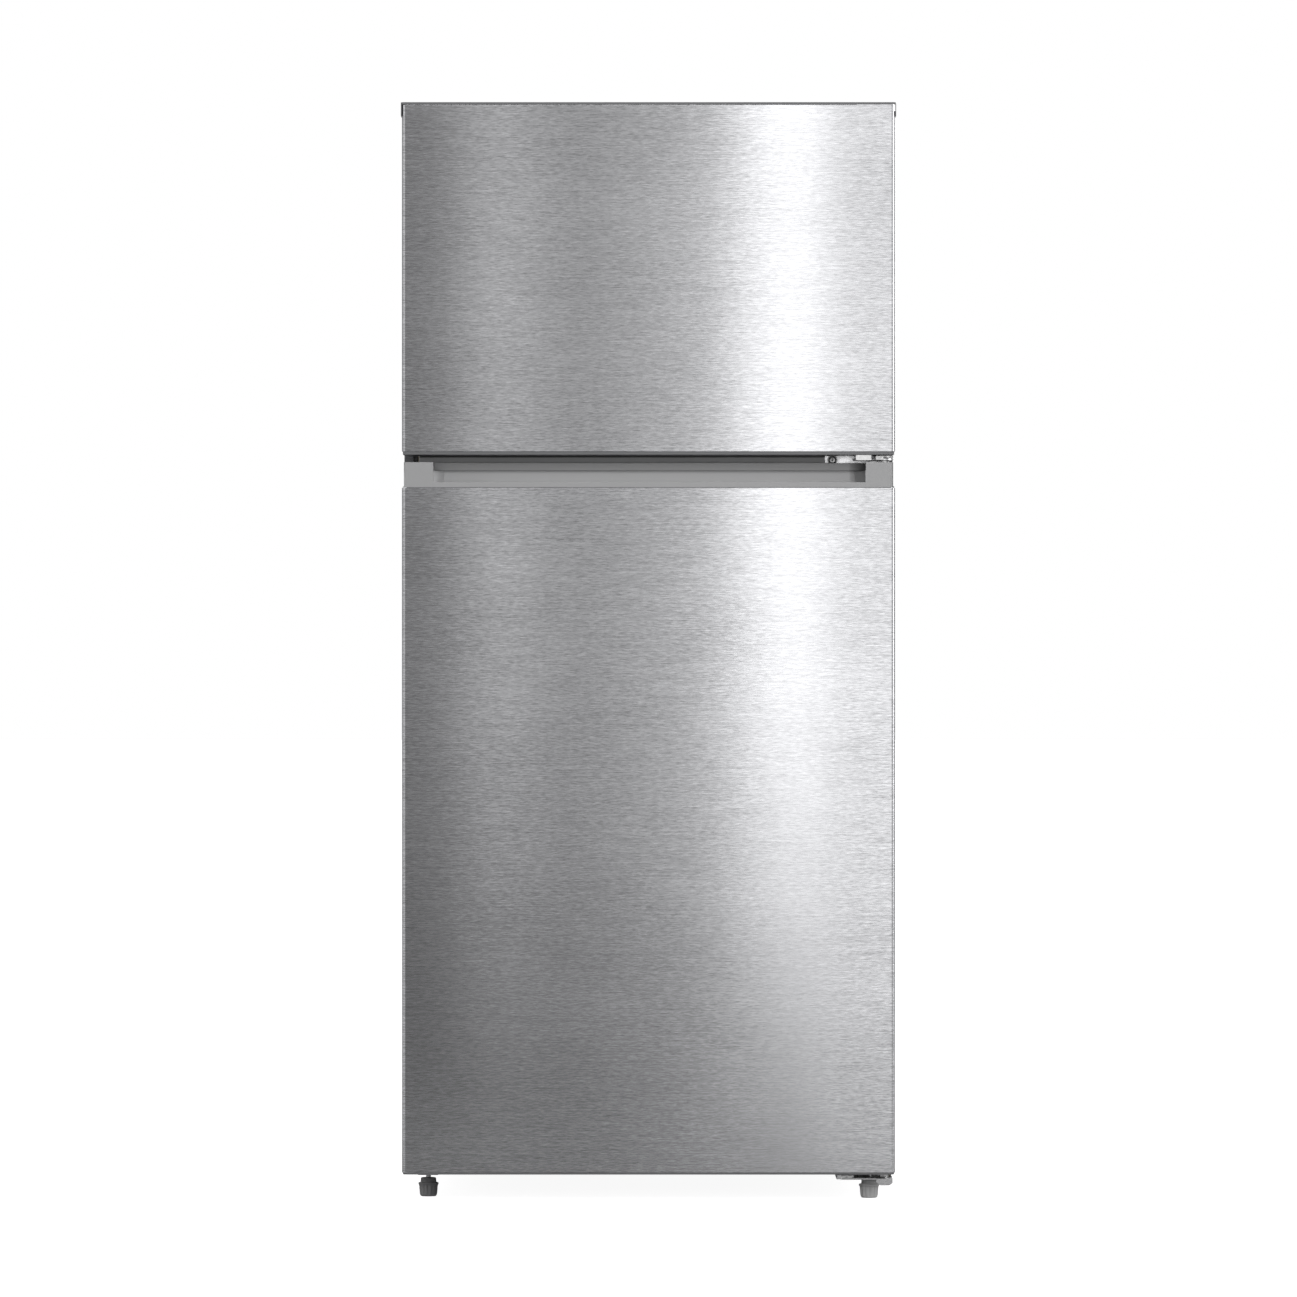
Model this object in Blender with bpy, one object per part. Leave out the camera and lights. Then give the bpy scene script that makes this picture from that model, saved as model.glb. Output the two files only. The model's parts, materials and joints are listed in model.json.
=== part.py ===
"""Top freezer refrigerator, free-standing, about 750 mm wide.

Frame: millimetre numbers below are scaled to metres. +Z is up and Z = 0 is the floor.
X = 0 is the middle of the width, and the hinges are on the +X side.
The doors face -Y. Y = 0 is the middle of the overall depth.
"""

import math

import bmesh
import bpy
from mathutils import Matrix, Vector

MM = 0.001

# ---------------------------------------------------------------- driving dimensions, mm
DOOR_W = 749.0  # steel door skins
TRIM_W = 752.0  # freezer door's top end cap, the widest piece
CAB_W = 746.0
DEPTH = 755.0
HEIGHT = 1668.0

Y_FRONT = -DEPTH / 2  # door skins' front face
Y_DOOR_BACK = -309.5  # door liners' flange
Y_CAB = -298.0  # cabinet's front plane
Y_BACK = 370.0  # cabinet shell's rear edge
Z_CAB0, Z_CAB1 = 36.0, 1656.0
DOOR_BACK_GAP = 0.3  # clearance between touching pieces

HX, HY = 358.0, -340.0  # hinge line of both doors
FRIDGE_Z0, FRIDGE_SKIN_Z1, FRIDGE_Z1 = 39.9, 1083.0, 1121.5
FREEZER_Z0, FREEZER_SKIN_Z0, FREEZER_Z1 = 1133.0, 1137.4, 1668.0
FREEZER_SKIN_Z1 = 1664.5

FRZ_HX, FRZ_Z0, FRZ_Z1, FRZ_YB = 314.0, 1158.0, 1614.0, 300.0  # freezer liner, inside
FRG_HX, FRG_Z0, FRG_Z1, FRG_YB = 326.0, 95.0, 1093.0, 312.0  # fresh food liner, inside
STEP_Y, STEP_Z = 120.0, 300.0  # hump over the machine compartment
MACH_Y, MACH_Z = 168.0, 262.0  # machine compartment's front wall and roof

CRISPER_TRAVEL = 225.0
WHEEL_R = 20.0

# ---------------------------------------------------------------- scene
for old in list(bpy.data.objects):
    bpy.data.objects.remove(old, do_unlink=True)
for old in list(bpy.data.meshes):
    bpy.data.meshes.remove(old)

scene = bpy.context.scene


def material(name, colour, rough, metal=0.0, alpha=1.0):
    m = bpy.data.materials.get(name)
    if m:
        return m
    m = bpy.data.materials.new(name)
    m.use_nodes = True
    p = m.node_tree.nodes["Principled BSDF"]
    p.inputs["Base Color"].default_value = (*colour, 1.0)
    p.inputs["Roughness"].default_value = rough
    p.inputs["Metallic"].default_value = metal
    p.inputs["Alpha"].default_value = alpha
    m.diffuse_color = (*colour, alpha)
    return m


def finish_of(slot):
    table = {
        "door_steel": ((0.50, 0.50, 0.51), 0.30, 1.0, 1.0),
        "side_paint": ((0.22, 0.22, 0.23), 0.45, 0.0, 1.0),
        "zinc_steel": ((0.55, 0.55, 0.56), 0.35, 1.0, 1.0),
        "pin_steel": ((0.62, 0.62, 0.63), 0.25, 1.0, 1.0),
        "back_sheet": ((0.42, 0.43, 0.44), 0.50, 0.6, 1.0),
        "rail_paint": ((0.10, 0.10, 0.105), 0.50, 0.0, 1.0),
        "trim_grey": ((0.37, 0.37, 0.375), 0.45, 0.0, 1.0),
        "cap_dark": ((0.09, 0.09, 0.095), 0.50, 0.0, 1.0),
        "liner_white": ((0.86, 0.87, 0.87), 0.35, 0.0, 1.0),
        "clear_plastic": ((0.80, 0.86, 0.90), 0.10, 0.0, 0.45),
        "shelf_glass": ((0.72, 0.84, 0.82), 0.05, 0.0, 0.35),
        "gasket_rubber": ((0.30, 0.30, 0.31), 0.60, 0.0, 1.0),
        "foam_cream": ((0.80, 0.70, 0.45), 0.95, 0.0, 1.0),
        "compressor_black": ((0.02, 0.02, 0.02), 0.35, 0.0, 1.0),
        "black_plastic": ((0.03, 0.03, 0.03), 0.50, 0.0, 1.0),
        "coil_aluminium": ((0.70, 0.71, 0.72), 0.40, 1.0, 1.0),
        "coil_black": ((0.03, 0.03, 0.035), 0.45, 0.0, 1.0),
        "foot_plastic": ((0.10, 0.10, 0.10), 0.60, 0.0, 1.0),
        "wheel_nylon": ((0.15, 0.15, 0.15), 0.60, 0.0, 1.0),
        "lamp_lens": ((0.92, 0.92, 0.90), 0.30, 0.0, 0.7),
    }
    colour, rough, metal, alpha = table[slot]
    return colour, rough, metal, alpha


PIVOTS = {}


def pivot_empty(name, x, y, z):
    e = bpy.data.objects.new(name, None)
    e.empty_display_size = 0.05
    e.location = (x * MM, y * MM, z * MM)
    scene.collection.objects.link(e)
    PIVOTS[name] = e
    return e


cabinet = pivot_empty("cabinet_axis", 0, 0, 0)
freezer_axis = pivot_empty("freezer_door_axis", HX, HY, FREEZER_Z0)
fridge_axis = pivot_empty("fridge_door_axis", HX, HY, FRIDGE_Z0)


def make(name, bm, slot, parent=None, sharp=35, normals=True):
    """One named object from a bmesh whose points are in millimetres, with its origin at its parent empty."""
    if normals:
        bmesh.ops.recalc_face_normals(bm, faces=bm.faces)
    parent = parent or cabinet
    at = Vector([round(c / MM, 6) for c in parent.location])
    me = bpy.data.meshes.new(name)
    for v in bm.verts:
        v.co = (v.co - at) * MM
    bm.to_mesh(me)
    bm.free()
    o = bpy.data.objects.new(name, me)
    scene.collection.objects.link(o)
    o.parent = parent
    me.materials.append(material(name, *finish_of(slot)))
    me.shade_smooth()
    me.set_sharp_from_angle(angle=math.radians(sharp))
    return o


def helper(name, bm):
    """A cutter: never part of the object."""
    bmesh.ops.recalc_face_normals(bm, faces=bm.faces)
    me = bpy.data.meshes.new(name)
    for v in bm.verts:
        v.co = v.co * MM
    bm.to_mesh(me)
    bm.free()
    o = bpy.data.objects.new(name, me)
    scene.collection.objects.link(o)
    o.hide_render = True
    o.display_type = "WIRE"
    return o


COUNT = [0]


def combine(obj, bm, how="DIFFERENCE"):
    COUNT[0] += 1
    tool = helper(f"{obj.name}_tool_{COUNT[0]}", bm)
    m = obj.modifiers.new(f"{how.lower()}_{COUNT[0]}", "BOOLEAN")
    m.operation = how
    m.solver = "EXACT"
    m.object = tool
    return tool


def cut(obj, bm):
    return combine(obj, bm, "DIFFERENCE")


def join(obj, bm):
    return combine(obj, bm, "UNION")


# ---------------------------------------------------------------- shape makers, all in mm
def add_box(bm, x0, x1, y0, y1, z0, z1):
    v = [bm.verts.new((x, y, z)) for z in (z0, z1) for x, y in ((x0, y0), (x1, y0), (x1, y1), (x0, y1))]
    for f in ((0, 1, 2, 3), (4, 5, 6, 7), (0, 1, 5, 4), (1, 2, 6, 5), (2, 3, 7, 6), (3, 0, 4, 7)):
        bm.faces.new([v[i] for i in f])
    return bm


def boxes(*sizes):
    bm = bmesh.new()
    for s in sizes:
        add_box(bm, *s)
    return bm


def loft(loops, caps=True, closed=False, bm=None):
    """Quads between loops of equal length; capped at both ends, or closed back onto the first loop."""
    bm = bm or bmesh.new()
    rings = [[bm.verts.new(p) for p in loop] for loop in loops]
    n = len(rings[0])
    pairs = list(zip(rings, rings[1:]))
    if closed:
        pairs.append((rings[-1], rings[0]))
    for a, b in pairs:
        for i in range(n):
            j = (i + 1) % n
            bm.faces.new((a[i], a[j], b[j], b[i]))
    if caps and not closed:
        bm.faces.new(rings[0])
        bm.faces.new(rings[-1])
    return bm


def prism(points, axis, lo, hi, bm=None):
    """A flat outline pushed along an axis. Points are (y, z) for X, (x, z) for Y and (x, y) for Z."""
    place = {
        "X": lambda p, t: (t, p[0], p[1]),
        "Y": lambda p, t: (p[0], t, p[1]),
        "Z": lambda p, t: (p[0], p[1], t),
    }[axis]
    return loft([[place(p, lo) for p in points], [place(p, hi) for p in points]], bm=bm)


def round_rect(a0, a1, b0, b1, r, n=3):
    """Outline of a rectangle with rounded corners, anticlockwise, (n + 1) points a corner."""
    r = max(min(r, (a1 - a0) / 2 - 1e-3, (b1 - b0) / 2 - 1e-3), 1e-3)
    out = []
    for ca, cb, start in ((a1 - r, b1 - r, 0), (a0 + r, b1 - r, 90), (a0 + r, b0 + r, 180), (a1 - r, b0 + r, 270)):
        for k in range(n + 1):
            t = math.radians(start + 90 * k / n)
            out.append((ca + r * math.cos(t), cb + r * math.sin(t)))
    return out


def tub(x0, x1, y0, y1, z0, z1, wall, floor, r=12, draft=0.0, n=3):
    """An open box: outer wall up, over the rim, inner wall down to its floor."""
    lo = [(x, y, z0) for x, y in round_rect(x0 + draft, x1 - draft, y0 + draft, y1 - draft, r, n)]
    hi = [(x, y, z1) for x, y in round_rect(x0, x1, y0, y1, r, n)]
    hi2 = [(x, y, z1) for x, y in round_rect(x0 + wall, x1 - wall, y0 + wall, y1 - wall, r - wall, n)]
    d = draft + wall
    lo2 = [(x, y, z0 + floor) for x, y in round_rect(x0 + d, x1 - d, y0 + d, y1 - d, r - wall, n)]
    return loft([lo, hi, hi2, lo2])


def circle(r, n, phase=0.0):
    return [(r * math.cos(2 * math.pi * (k + phase) / n), r * math.sin(2 * math.pi * (k + phase) / n)) for k in range(n)]


def turned(profile, centre, axis="Z", n=20, ring=False, bm=None):
    """A turned shape from (radius, height) pairs. ring closes the profile on itself, as for a bush."""
    cx, cy, cz = centre
    place = {
        "Z": lambda p, t: (cx + p[0], cy + p[1], cz + t),
        "X": lambda p, t: (cx + t, cy + p[0], cz + p[1]),
        "Y": lambda p, t: (cx + p[0], cy + t, cz + p[1]),
    }[axis]
    loops = [[place(p, h) for p in circle(r, n)] for r, h in profile]
    return loft(loops, closed=ring, bm=bm)


def frame_ring(profile, x0, x1, z0, z1, r=4, n=2):
    """A closed profile of (inset, y) pairs carried round a rectangle in the XZ plane."""
    loops = []
    for inset, y in profile:
        loops.append([(x, y, z) for x, z in round_rect(x0 + inset, x1 - inset, z0 + inset, z1 - inset, max(r - inset, 0.5), n)])
    return loft(loops, closed=True)


def sheet_wrap(outline, z0, z1):
    """An open sheet: an open XY line carried up Z. Its normals are set by the winding of the line."""
    bm = bmesh.new()
    lo = [bm.verts.new((x, y, z0)) for x, y in outline]
    hi = [bm.verts.new((x, y, z1)) for x, y in outline]
    for i in range(len(outline) - 1):
        bm.faces.new((lo[i], lo[i + 1], hi[i + 1], hi[i]))
    return bm


def solidify(obj, thick):
    m = obj.modifiers.new("sheet", "SOLIDIFY")
    m.thickness = thick * MM
    m.offset = -1.0
    m.use_even_offset = True
    m.use_quality_normals = True
    return m


# ================================================================ CABINET (root)
shell = make("cabinet_shell", boxes((-CAB_W / 2, CAB_W / 2, Y_CAB, Y_BACK, Z_CAB0, Z_CAB1)), "side_paint")
cut(shell, boxes((-372, 372, Y_CAB + 1, Y_BACK + 5, Z_CAB0 - 5, Z_CAB1 - 1)))
cut(shell, boxes((-359, 359, Y_CAB - 5, Y_CAB + 5, Z_CAB0 - 5, Z_CAB1 - 14)))

foam = make("cabinet_foam", boxes((-371.7, 371.7, Y_CAB + 1.3, Y_BACK - 0.3, 40.0, Z_CAB1 - 1.3)), "foam_cream")
cut(foam, boxes((-FRZ_HX - 1.3, FRZ_HX + 1.3, Y_CAB - 5, FRZ_YB + 1.3, FRZ_Z0 - 1.3, FRZ_Z1 + 1.3)))
g = 1.3
nose = [(STEP_Y + 14 + 12.6 * math.cos(math.radians(t)), STEP_Z - 14 + 12.6 * math.sin(math.radians(t))) for t in (180, 135, 90)]
cut(foam, prism([(Y_CAB - 5, FRG_Z0 - g), (STEP_Y + g, FRG_Z0 - g), *nose, (FRG_YB + g, STEP_Z - g),
                 (FRG_YB + g, FRG_Z1 + g), (Y_CAB - 5, FRG_Z1 + g)], "X", -FRG_HX - g, FRG_HX + g))
cut(foam, boxes((-400, 400, MACH_Y, Y_BACK + 5, 30, MACH_Z)))
cut(foam, boxes((351, 400, Y_CAB - 5, -270, 1098, 1153), (-400, -351, Y_CAB - 5, -270, 1098, 1153)))

back = make("back_panel", prism(round_rect(-371.5, 371.5, MACH_Z + 4, 1654.5, 3, 1), "Y", Y_BACK + 0.3, Y_BACK + 1.3), "back_sheet")


def liner(name, hx, profile, flange, corner, ledges):
    """A vacuum-formed tub: (y, z) profile from the front bottom edge, back, and round to the front top edge."""
    bm = bmesh.new()
    left = [bm.verts.new((-hx, y, z)) for y, z in profile]
    right = [bm.verts.new((hx, y, z)) for y, z in profile]
    inner = []
    for i in range(len(profile) - 1):
        inner.append(bm.faces.new((left[i], right[i], right[i + 1], left[i + 1])))
    bm.faces.new(list(reversed(left)))
    bm.faces.new(right)
    fx, fz0, fz1 = flange
    y = profile[0][0]
    o = [bm.verts.new(p) for p in ((-fx, y, fz0), (fx, y, fz0), (fx, y, fz1), (-fx, y, fz1))]
    i = [left[0], right[0], right[-1], left[-1]]
    rim = []
    for k in range(4):
        rim.append(bm.faces.new((o[k], o[(k + 1) % 4], i[(k + 1) % 4], i[k])))
    bmesh.ops.recalc_face_normals(bm, faces=bm.faces)
    bm.normal_update()
    if rim[0].normal.y > 0:
        bmesh.ops.reverse_faces(bm, faces=bm.faces)
    deep = [e for e in bm.edges if len(e.link_faces) == 2 and not any(abs(v.co.y - y) < 1e-6 for v in e.verts)]
    along = [e for e in bm.edges if len(e.link_faces) == 2 and sum(abs(v.co.y - y) < 1e-6 for v in e.verts) == 1
             and not (abs(e.verts[0].co.y - e.verts[1].co.y) < 1e-6)]
    bmesh.ops.bevel(bm, geom=deep + along, offset=corner, offset_type="OFFSET", segments=2, profile=0.5, affect="EDGES",
                    clamp_overlap=True)
    obj = make(name, bm, "liner_white", normals=False)
    solidify(obj, 1.0)
    for z, y0, y1, depth in ledges:
        wall = hx + 0.6
        shape = boxes((hx - depth, wall, y0, y1, z - 8, z), (-wall, -hx + depth, y0, y1, z - 8, z))
        join(obj, shape)
    return obj


freezer_liner = liner(
    "freezer_liner", FRZ_HX,
    [(Y_CAB, FRZ_Z0), (FRZ_YB, FRZ_Z0), (FRZ_YB, FRZ_Z1), (Y_CAB, FRZ_Z1)],
    (358.6, 1152.4, 1641.6), 14.0, [(1388.0, -168, 215, 10)],
)
fridge_liner = liner(
    "fridge_liner", FRG_HX,
    [(Y_CAB, FRG_Z0), (STEP_Y, FRG_Z0), (STEP_Y, STEP_Z), (FRG_YB, STEP_Z), (FRG_YB, FRG_Z1), (Y_CAB, FRG_Z1)],
    (358.6, 60.0, 1098.6), 14.0,
    [(320.0, -150, 280, 9), (562.0, -168, 280, 9), (802.0, -168, 280, 9), (288.0, -170, 100, 17)],
)

rail = make("mullion_rail", boxes((-350.7, 350.7, Y_CAB, Y_CAB + 1, 1099, 1152)), "rail_paint")
cut(rail, turned([(3.1, -6), (3.1, 6)], (281.0, -298, 1126.4), "Y", 12))

# floor of the cabinet: an L shaped pan with a welded nut boss for the left foot
base = make("base_pan", prism([(Y_CAB, 38.3), (MACH_Y - 1, 38.3), (MACH_Y - 1, 39.6), (Y_CAB + 1, 39.6), (Y_CAB + 1, 59.6), (Y_CAB, 59.6)],
                              "X", -358.6, 358.6), "zinc_steel")
join(base, prism(round_rect(-362 + 9, -322, -285, -252, 3, 1), "Z", 33.0, 38.9))
cut(base, turned([(4.5, 0), (4.5, 40)], (-337, -268, 20), n=16))

# ---- machine compartment
tray = make("compressor_tray", boxes((-371.5, 371.5, MACH_Y + 0.6, 369.5, 42.0, 43.6)), "zinc_steel")
for side in (-1, 1):
    for x0, x1 in ((316, 318), (342, 344)):
        a, b = sorted((side * x0, side * x1))
        join(tray, prism([(306, 42.6), (354, 42.6), (348, 20), (340, 10), (320, 10), (312, 20)], "X", a, b))
    a, b = sorted((side * 315, side * 345))
    join(tray, turned([(7, a), (7, a + 1.2), (3.9, a + 1.3), (3.9, b - 1.3), (7, b - 1.2), (7, b)], (0, 330, WHEEL_R), "X", 12))

compressor = make(
    "compressor",
    loft([[(170 + x * s, 270 + y * s * 0.82, z) for x, y in circle(92, 20)] for s, z in
          ((0.80, 62), (0.93, 66), (1.0, 80), (1.0, 118), (1.03, 119), (1.03, 125), (0.99, 126), (0.97, 165), (0.90, 192), (0.72, 212), (0.42, 223), (0.12, 226))]),
    "compressor_black",
)
join(compressor, prism(round_rect(78, 262, 205, 335, 14, 2), "Z", 57, 66))
mount = [(90, 215), (250, 215), (250, 325), (90, 325)]
for x, y in mount:
    join(compressor, turned([(11, -10.0), (11, -2.0), (8, 0), (8, 12.0)], (x, y, 54), n=10))
join(compressor, turned([(5, 0), (5, 60)], (112, 236, 100), "Z", 8))

join(compressor, prism([(244, 108), (296, 108), (296, 166), (286, 172), (254, 172), (244, 166)], "X", 62, 100))

points = []
rows, left, right, top = 7, -334.0, -118.0, 236.0
for k in range(rows):
    z = top - k * 24
    ends = (left, right) if k % 2 == 0 else (right, left)
    points.append((ends[0], 232.0, z))
    points.append((ends[1], 232.0, z))
    if k < rows - 1:
        sx = 1 if ends[1] == right else -1
        for t in (45, 90, 135):
            points.append((ends[1] + sx * 12 * math.sin(math.radians(t)), 232.0, z - 12 + 12 * math.cos(math.radians(t))))
curve = bpy.data.curves.new("condenser_coil", "CURVE")
curve.dimensions = "3D"
curve.bevel_depth = 3.0 * MM
curve.bevel_resolution = 1
curve.use_fill_caps = True
spline = curve.splines.new("POLY")
spline.points.add(len(points) - 1)
for p, co in zip(spline.points, points):
    p.co = (co[0] * MM, co[1] * MM, co[2] * MM, 1.0)
coil = bpy.data.objects.new("condenser_coil", curve)
coil.parent = cabinet
scene.collection.objects.link(coil)
curve.materials.append(material("condenser_coil", *finish_of("coil_black")))

FANX, FANY, FANZ = -20.0, 262.0, 150.0
shroud = make("condenser_fan_shroud", prism(round_rect(188, 336, 46, 250, 8, 2), "X", FANX - 6, FANX + 6), "black_plastic")
cut(shroud, turned([(62, -20), (62, 20)], (FANX, FANY, FANZ), "X", 28))
join(shroud, boxes((FANX - 5, FANX + 5, FANY - 64, FANY + 64, FANZ - 4, FANZ + 4), (FANX - 5, FANX + 5, FANY - 4, FANY + 4, FANZ - 64, FANZ + 64)))
join(shroud, turned([(17, -5.5), (17, 30)], (FANX, FANY, FANZ), "X", 16))
join(shroud, turned([(2.5, 0), (2.5, -20)], (FANX, FANY, FANZ), "X", 8))


def fan(name, centre, axis, radius, blades, width, slot, bore, pivot):
    """A hub with pitched blades; the hub is bored for the motor's shaft."""
    obj = make(name, turned([(radius * 0.30, -width / 2), (radius * 0.30, width / 2)], centre, axis, 20), slot, pivot)
    cx, cy, cz = centre
    for k in range(blades):
        a = 2 * math.pi * k / blades
        bm = bmesh.new()
        add_box(bm, radius * 0.24, radius, -radius * 0.24, radius * 0.24, -0.9, 0.9)
        turn = Matrix.Rotation(a, 4, "Z") @ Matrix.Rotation(math.radians(28), 4, "X")
        if axis == "X":
            turn = Matrix.Rotation(math.radians(90), 4, "Y") @ turn
        elif axis == "Y":
            turn = Matrix.Rotation(math.radians(-90), 4, "X") @ turn
        bm.transform(Matrix.Translation(Vector((cx, cy, cz))) @ turn)
        join(obj, bm)
    cut(obj, turned([(bore, -width), (bore, width)], centre, axis, 12))
    return obj


cond_fan_axis = pivot_empty("condenser_fan_axis", FANX - 14, FANY, FANZ)
fan("condenser_fan", (FANX - 16, FANY, FANZ), "X", 56, 5, 16, "black_plastic", 3.0, cond_fan_axis)

pan = make("drain_pan", tub(-352, -100, 178, 350, 46, 64, 2, 2, 10, 4, 2), "black_plastic")

cover = bmesh.new()
loops = []
for inset, y, r in ((0, Y_BACK + 1.5, 3), (16, Y_BACK + 1.5, 8), (20, DEPTH / 2, 10)):
    loops.append([(x, y, z) for x, z in round_rect(-371.5 + inset, 371.5 - inset, 44 + inset, MACH_Z + 3.5 - inset, r, 2)])
rings = [[cover.verts.new(p) for p in loop] for loop in loops]
for a, b in zip(rings, rings[1:]):
    for i in range(len(a)):
        j = (i + 1) % len(a)
        cover.faces.new((a[i], a[j], b[j], b[i]))
cover.faces.new(rings[-1])
bmesh.ops.recalc_face_normals(cover, faces=cover.faces)
cover.normal_update()
if [f for f in cover.faces if len(f.verts) > 4][0].normal.y < 0:
    bmesh.ops.reverse_faces(cover, faces=cover.faces)
machine_cover = make("machine_cover", cover, "back_sheet", normals=False)
solidify(machine_cover, 1.0)
slots = bmesh.new()
for gx in (-300, -250, -200, -150, -100, 60, 110, 160, 210):
    for gz in (92, 124, 156, 188):
        add_box(slots, gx, gx + 36, 365, 385, gz, gz + 7)
cut(machine_cover, slots)
cut(machine_cover, turned([(9.0, -10), (9.0, 10)], (310, 375, 120), "Y", 16))

make("cord_gland", turned([(5.0, -10.0), (8.6, -10.0), (8.6, -0.4), (5.0, -0.4)], (310, 377.4, 120), "Y", 16, ring=True), "black_plastic")

# ---- evaporator, its fan and cover, behind the freezer's back wall
comb = []
pitch, n = 25.0, 20
x = -250.0
for k in range(n):
    comb += [(x, 242.0), (x + 4, 242.0), (x + 4, 278.0), (x + pitch, 278.0)]
    x += pitch
comb += [(x, 242.0), (x + 4, 242.0), (x + 4, 290.0), (-250.0, 290.0)]
evap = make("evaporator_coil", prism(comb, "Z", 1190, 1340), "coil_aluminium")

grille = make("evaporator_cover", prism(round_rect(-305, 305, 1166, 1606, 10, 2), "Y", 226, 229), "liner_white")
slots = bmesh.new()
for gx in (-250, -170, -90, 30, 110, 190):
    for gz in (1556, 1572):
        add_box(slots, gx, gx + 60, 220, 235, gz, gz + 7)
for gx in (-270, -190, -110, -30, 50, 130, 210):
    add_box(slots, gx, gx + 60, 220, 235, 1176, 1184)
cut(grille, slots)
cut(grille, turned([(6.4, -10), (6.4, 10)], (230, 228, 1240), "Y", 16))

EFX, EFY, EFZ = 0.0, 262.0, 1460.0
motor = make("evaporator_fan_motor", boxes((-75, 75, 292, 296, EFZ - 75, EFZ + 75)), "black_plastic")
join(motor, turned([(20, 3), (20, 32.0)], (EFX, EFY, EFZ), "Y", 16))
join(motor, turned([(2.5, -16), (2.5, 6)], (EFX, EFY, EFZ), "Y", 8))
evap_fan_axis = pivot_empty("evaporator_fan_axis", EFX, EFY - 10, EFZ)
fan("evaporator_fan", (EFX, EFY - 10, EFZ), "Y", 50, 4, 18, "black_plastic", 3.0, evap_fan_axis)

knob_f_axis = pivot_empty("freezer_dial_axis", 230, 226, 1240)
dial = make("freezer_dial", turned([(5.6, 6.0), (5.6, -0.4), (19, -0.4), (19, -9), (16, -12)], (230, 226, 1240), "Y", 20), "trim_grey", knob_f_axis)
join(dial, boxes((228, 232, 211.5, 215.5, 1226, 1254)))

# ---- fresh food compartment
duct = make("air_duct", prism(round_rect(-105, 105, 318, 1050, 12, 2), "Y", 296, 311.5), "liner_white")
slots = bmesh.new()
for gz in (380, 470, 620, 710, 860, 950):
    for gx in (-80, 20):
        add_box(slots, gx, gx + 60, 290, 306, gz, gz + 10)
cut(duct, slots)

box_ = make("control_box", prism([(-186, 1058), (-178, 1052), (40, 1052), (52, 1092.5), (-186, 1092.5)], "X", -170, 170), "liner_white")
cut(box_, boxes((-60, 60, -150, -30, 1045, 1056)))
cut(box_, turned([(6.4, -12), (6.4, 8)], (110, -188, 1073), "Y", 16))
make("lamp_lens", loft([[(x, y, z) for x, y in round_rect(-59 + d, 59 - d, -149 + d, -31 - d, 8, 2)] for d, z in ((0, 1055.5), (0, 1049), (4, 1046.5))]), "lamp_lens")
knob_r_axis = pivot_empty("fridge_dial_axis", 110, -186, 1073)
dial = make("fridge_dial", turned([(5.6, 6.0), (5.6, -0.5), (16, -0.5), (16, -9), (13.5, -12)], (110, -186, 1073), "Y", 20), "trim_grey", knob_r_axis)
join(dial, boxes((108, 112, -201.5, -197, 1061, 1085)))


def shelf(name, z, hx, y0, y1):
    """A glass shelf drawn as one section: front trim, pane, and rear trim with a spill stop."""
    return make(name, prism([(y0, z - 12), (y0 + 10, z - 12), (y0 + 10, z), (y1 - 12, z), (y1 - 12, z), (y1, z), (y1, z + 14),
                             (y1 - 3, z + 14), (y1 - 3, z + 6), (y0 + 10, z + 6), (y0 + 4, z + 9), (y0, z + 8)][:4] +
                            [(y1, z), (y1, z + 14), (y1 - 3, z + 14), (y1 - 3, z + 6), (y0 + 12, z + 6), (y0 + 6, z + 9), (y0, z + 7)],
                            "X", -hx, hx), "shelf_glass")


shelf("freezer_shelf", 1388.3, 311.5, -182, 218)
shelf("fridge_shelf_upper", 802.3, 323.5, -182, 284)
shelf("fridge_shelf_lower", 562.3, 323.5, -182, 284)
make("crisper_glass", prism(round_rect(-323.5, 323.5, -158, 284, 6, 2), "Z", 328.8, 333.2), "shelf_glass")
crisper_frame = make("crisper_frame", boxes((-323.5, 323.5, -164, 284, 320.3, 328.5)), "liner_white")
cut(crisper_frame, boxes((-300, -14, -146, 266, 310, 340), (14, 300, -146, 266, 310, 340)))
join(crisper_frame, boxes((-323.5, 323.5, -182, -163, 306, 334)))
join(crisper_frame, prism([(-3, 284), (-15, 284), (-15, 281), (15, 281), (15, 284), (3, 284), (3, 322), (-3, 322)], "Y", -160, 116))


def crisper(name, x0, x1, side, pivot):
    obj = make(name, tub(x0, x1, -179, 112, 102, 294, 3, 3, 10, 3, 1), "clear_plastic", pivot)
    lip = bmesh.new()
    outer, inner = round_rect(x0 - 7, x1 + 7, -178.8, 114.5, 8, 1), round_rect(x0 + 1.5, x1 - 1.5, -177.4, 110.5, 8, 1)
    loft([[(x, y, 290.2) for x, y in outer], [(x, y, 293.6) for x, y in outer],
          [(x, y, 293.6) for x, y in inner], [(x, y, 290.2) for x, y in inner]], closed=True, bm=lip)
    join(obj, lip)
    join(obj, prism(round_rect(x0 - 10, x1 + 4, 99, 301, 8, 3) if side < 0 else round_rect(x0 - 4, x1 + 10, 99, 301, 8, 3), "Y", -191, -177.5))
    xc = (x0 + x1) / 2
    cut(obj, prism(round_rect(xc - 60, xc + 60, 246, 286, 12, 3), "Y", -195, -183))
    return obj


crisper_left_axis = pivot_empty("crisper_left_slide", -160, -190, 200)
crisper_right_axis = pivot_empty("crisper_right_slide", 160, -190, 200)
crisper("crisper_left", -299, -18, -1, crisper_left_axis)
crisper("crisper_right", 18, 299, 1, crisper_right_axis)

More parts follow.
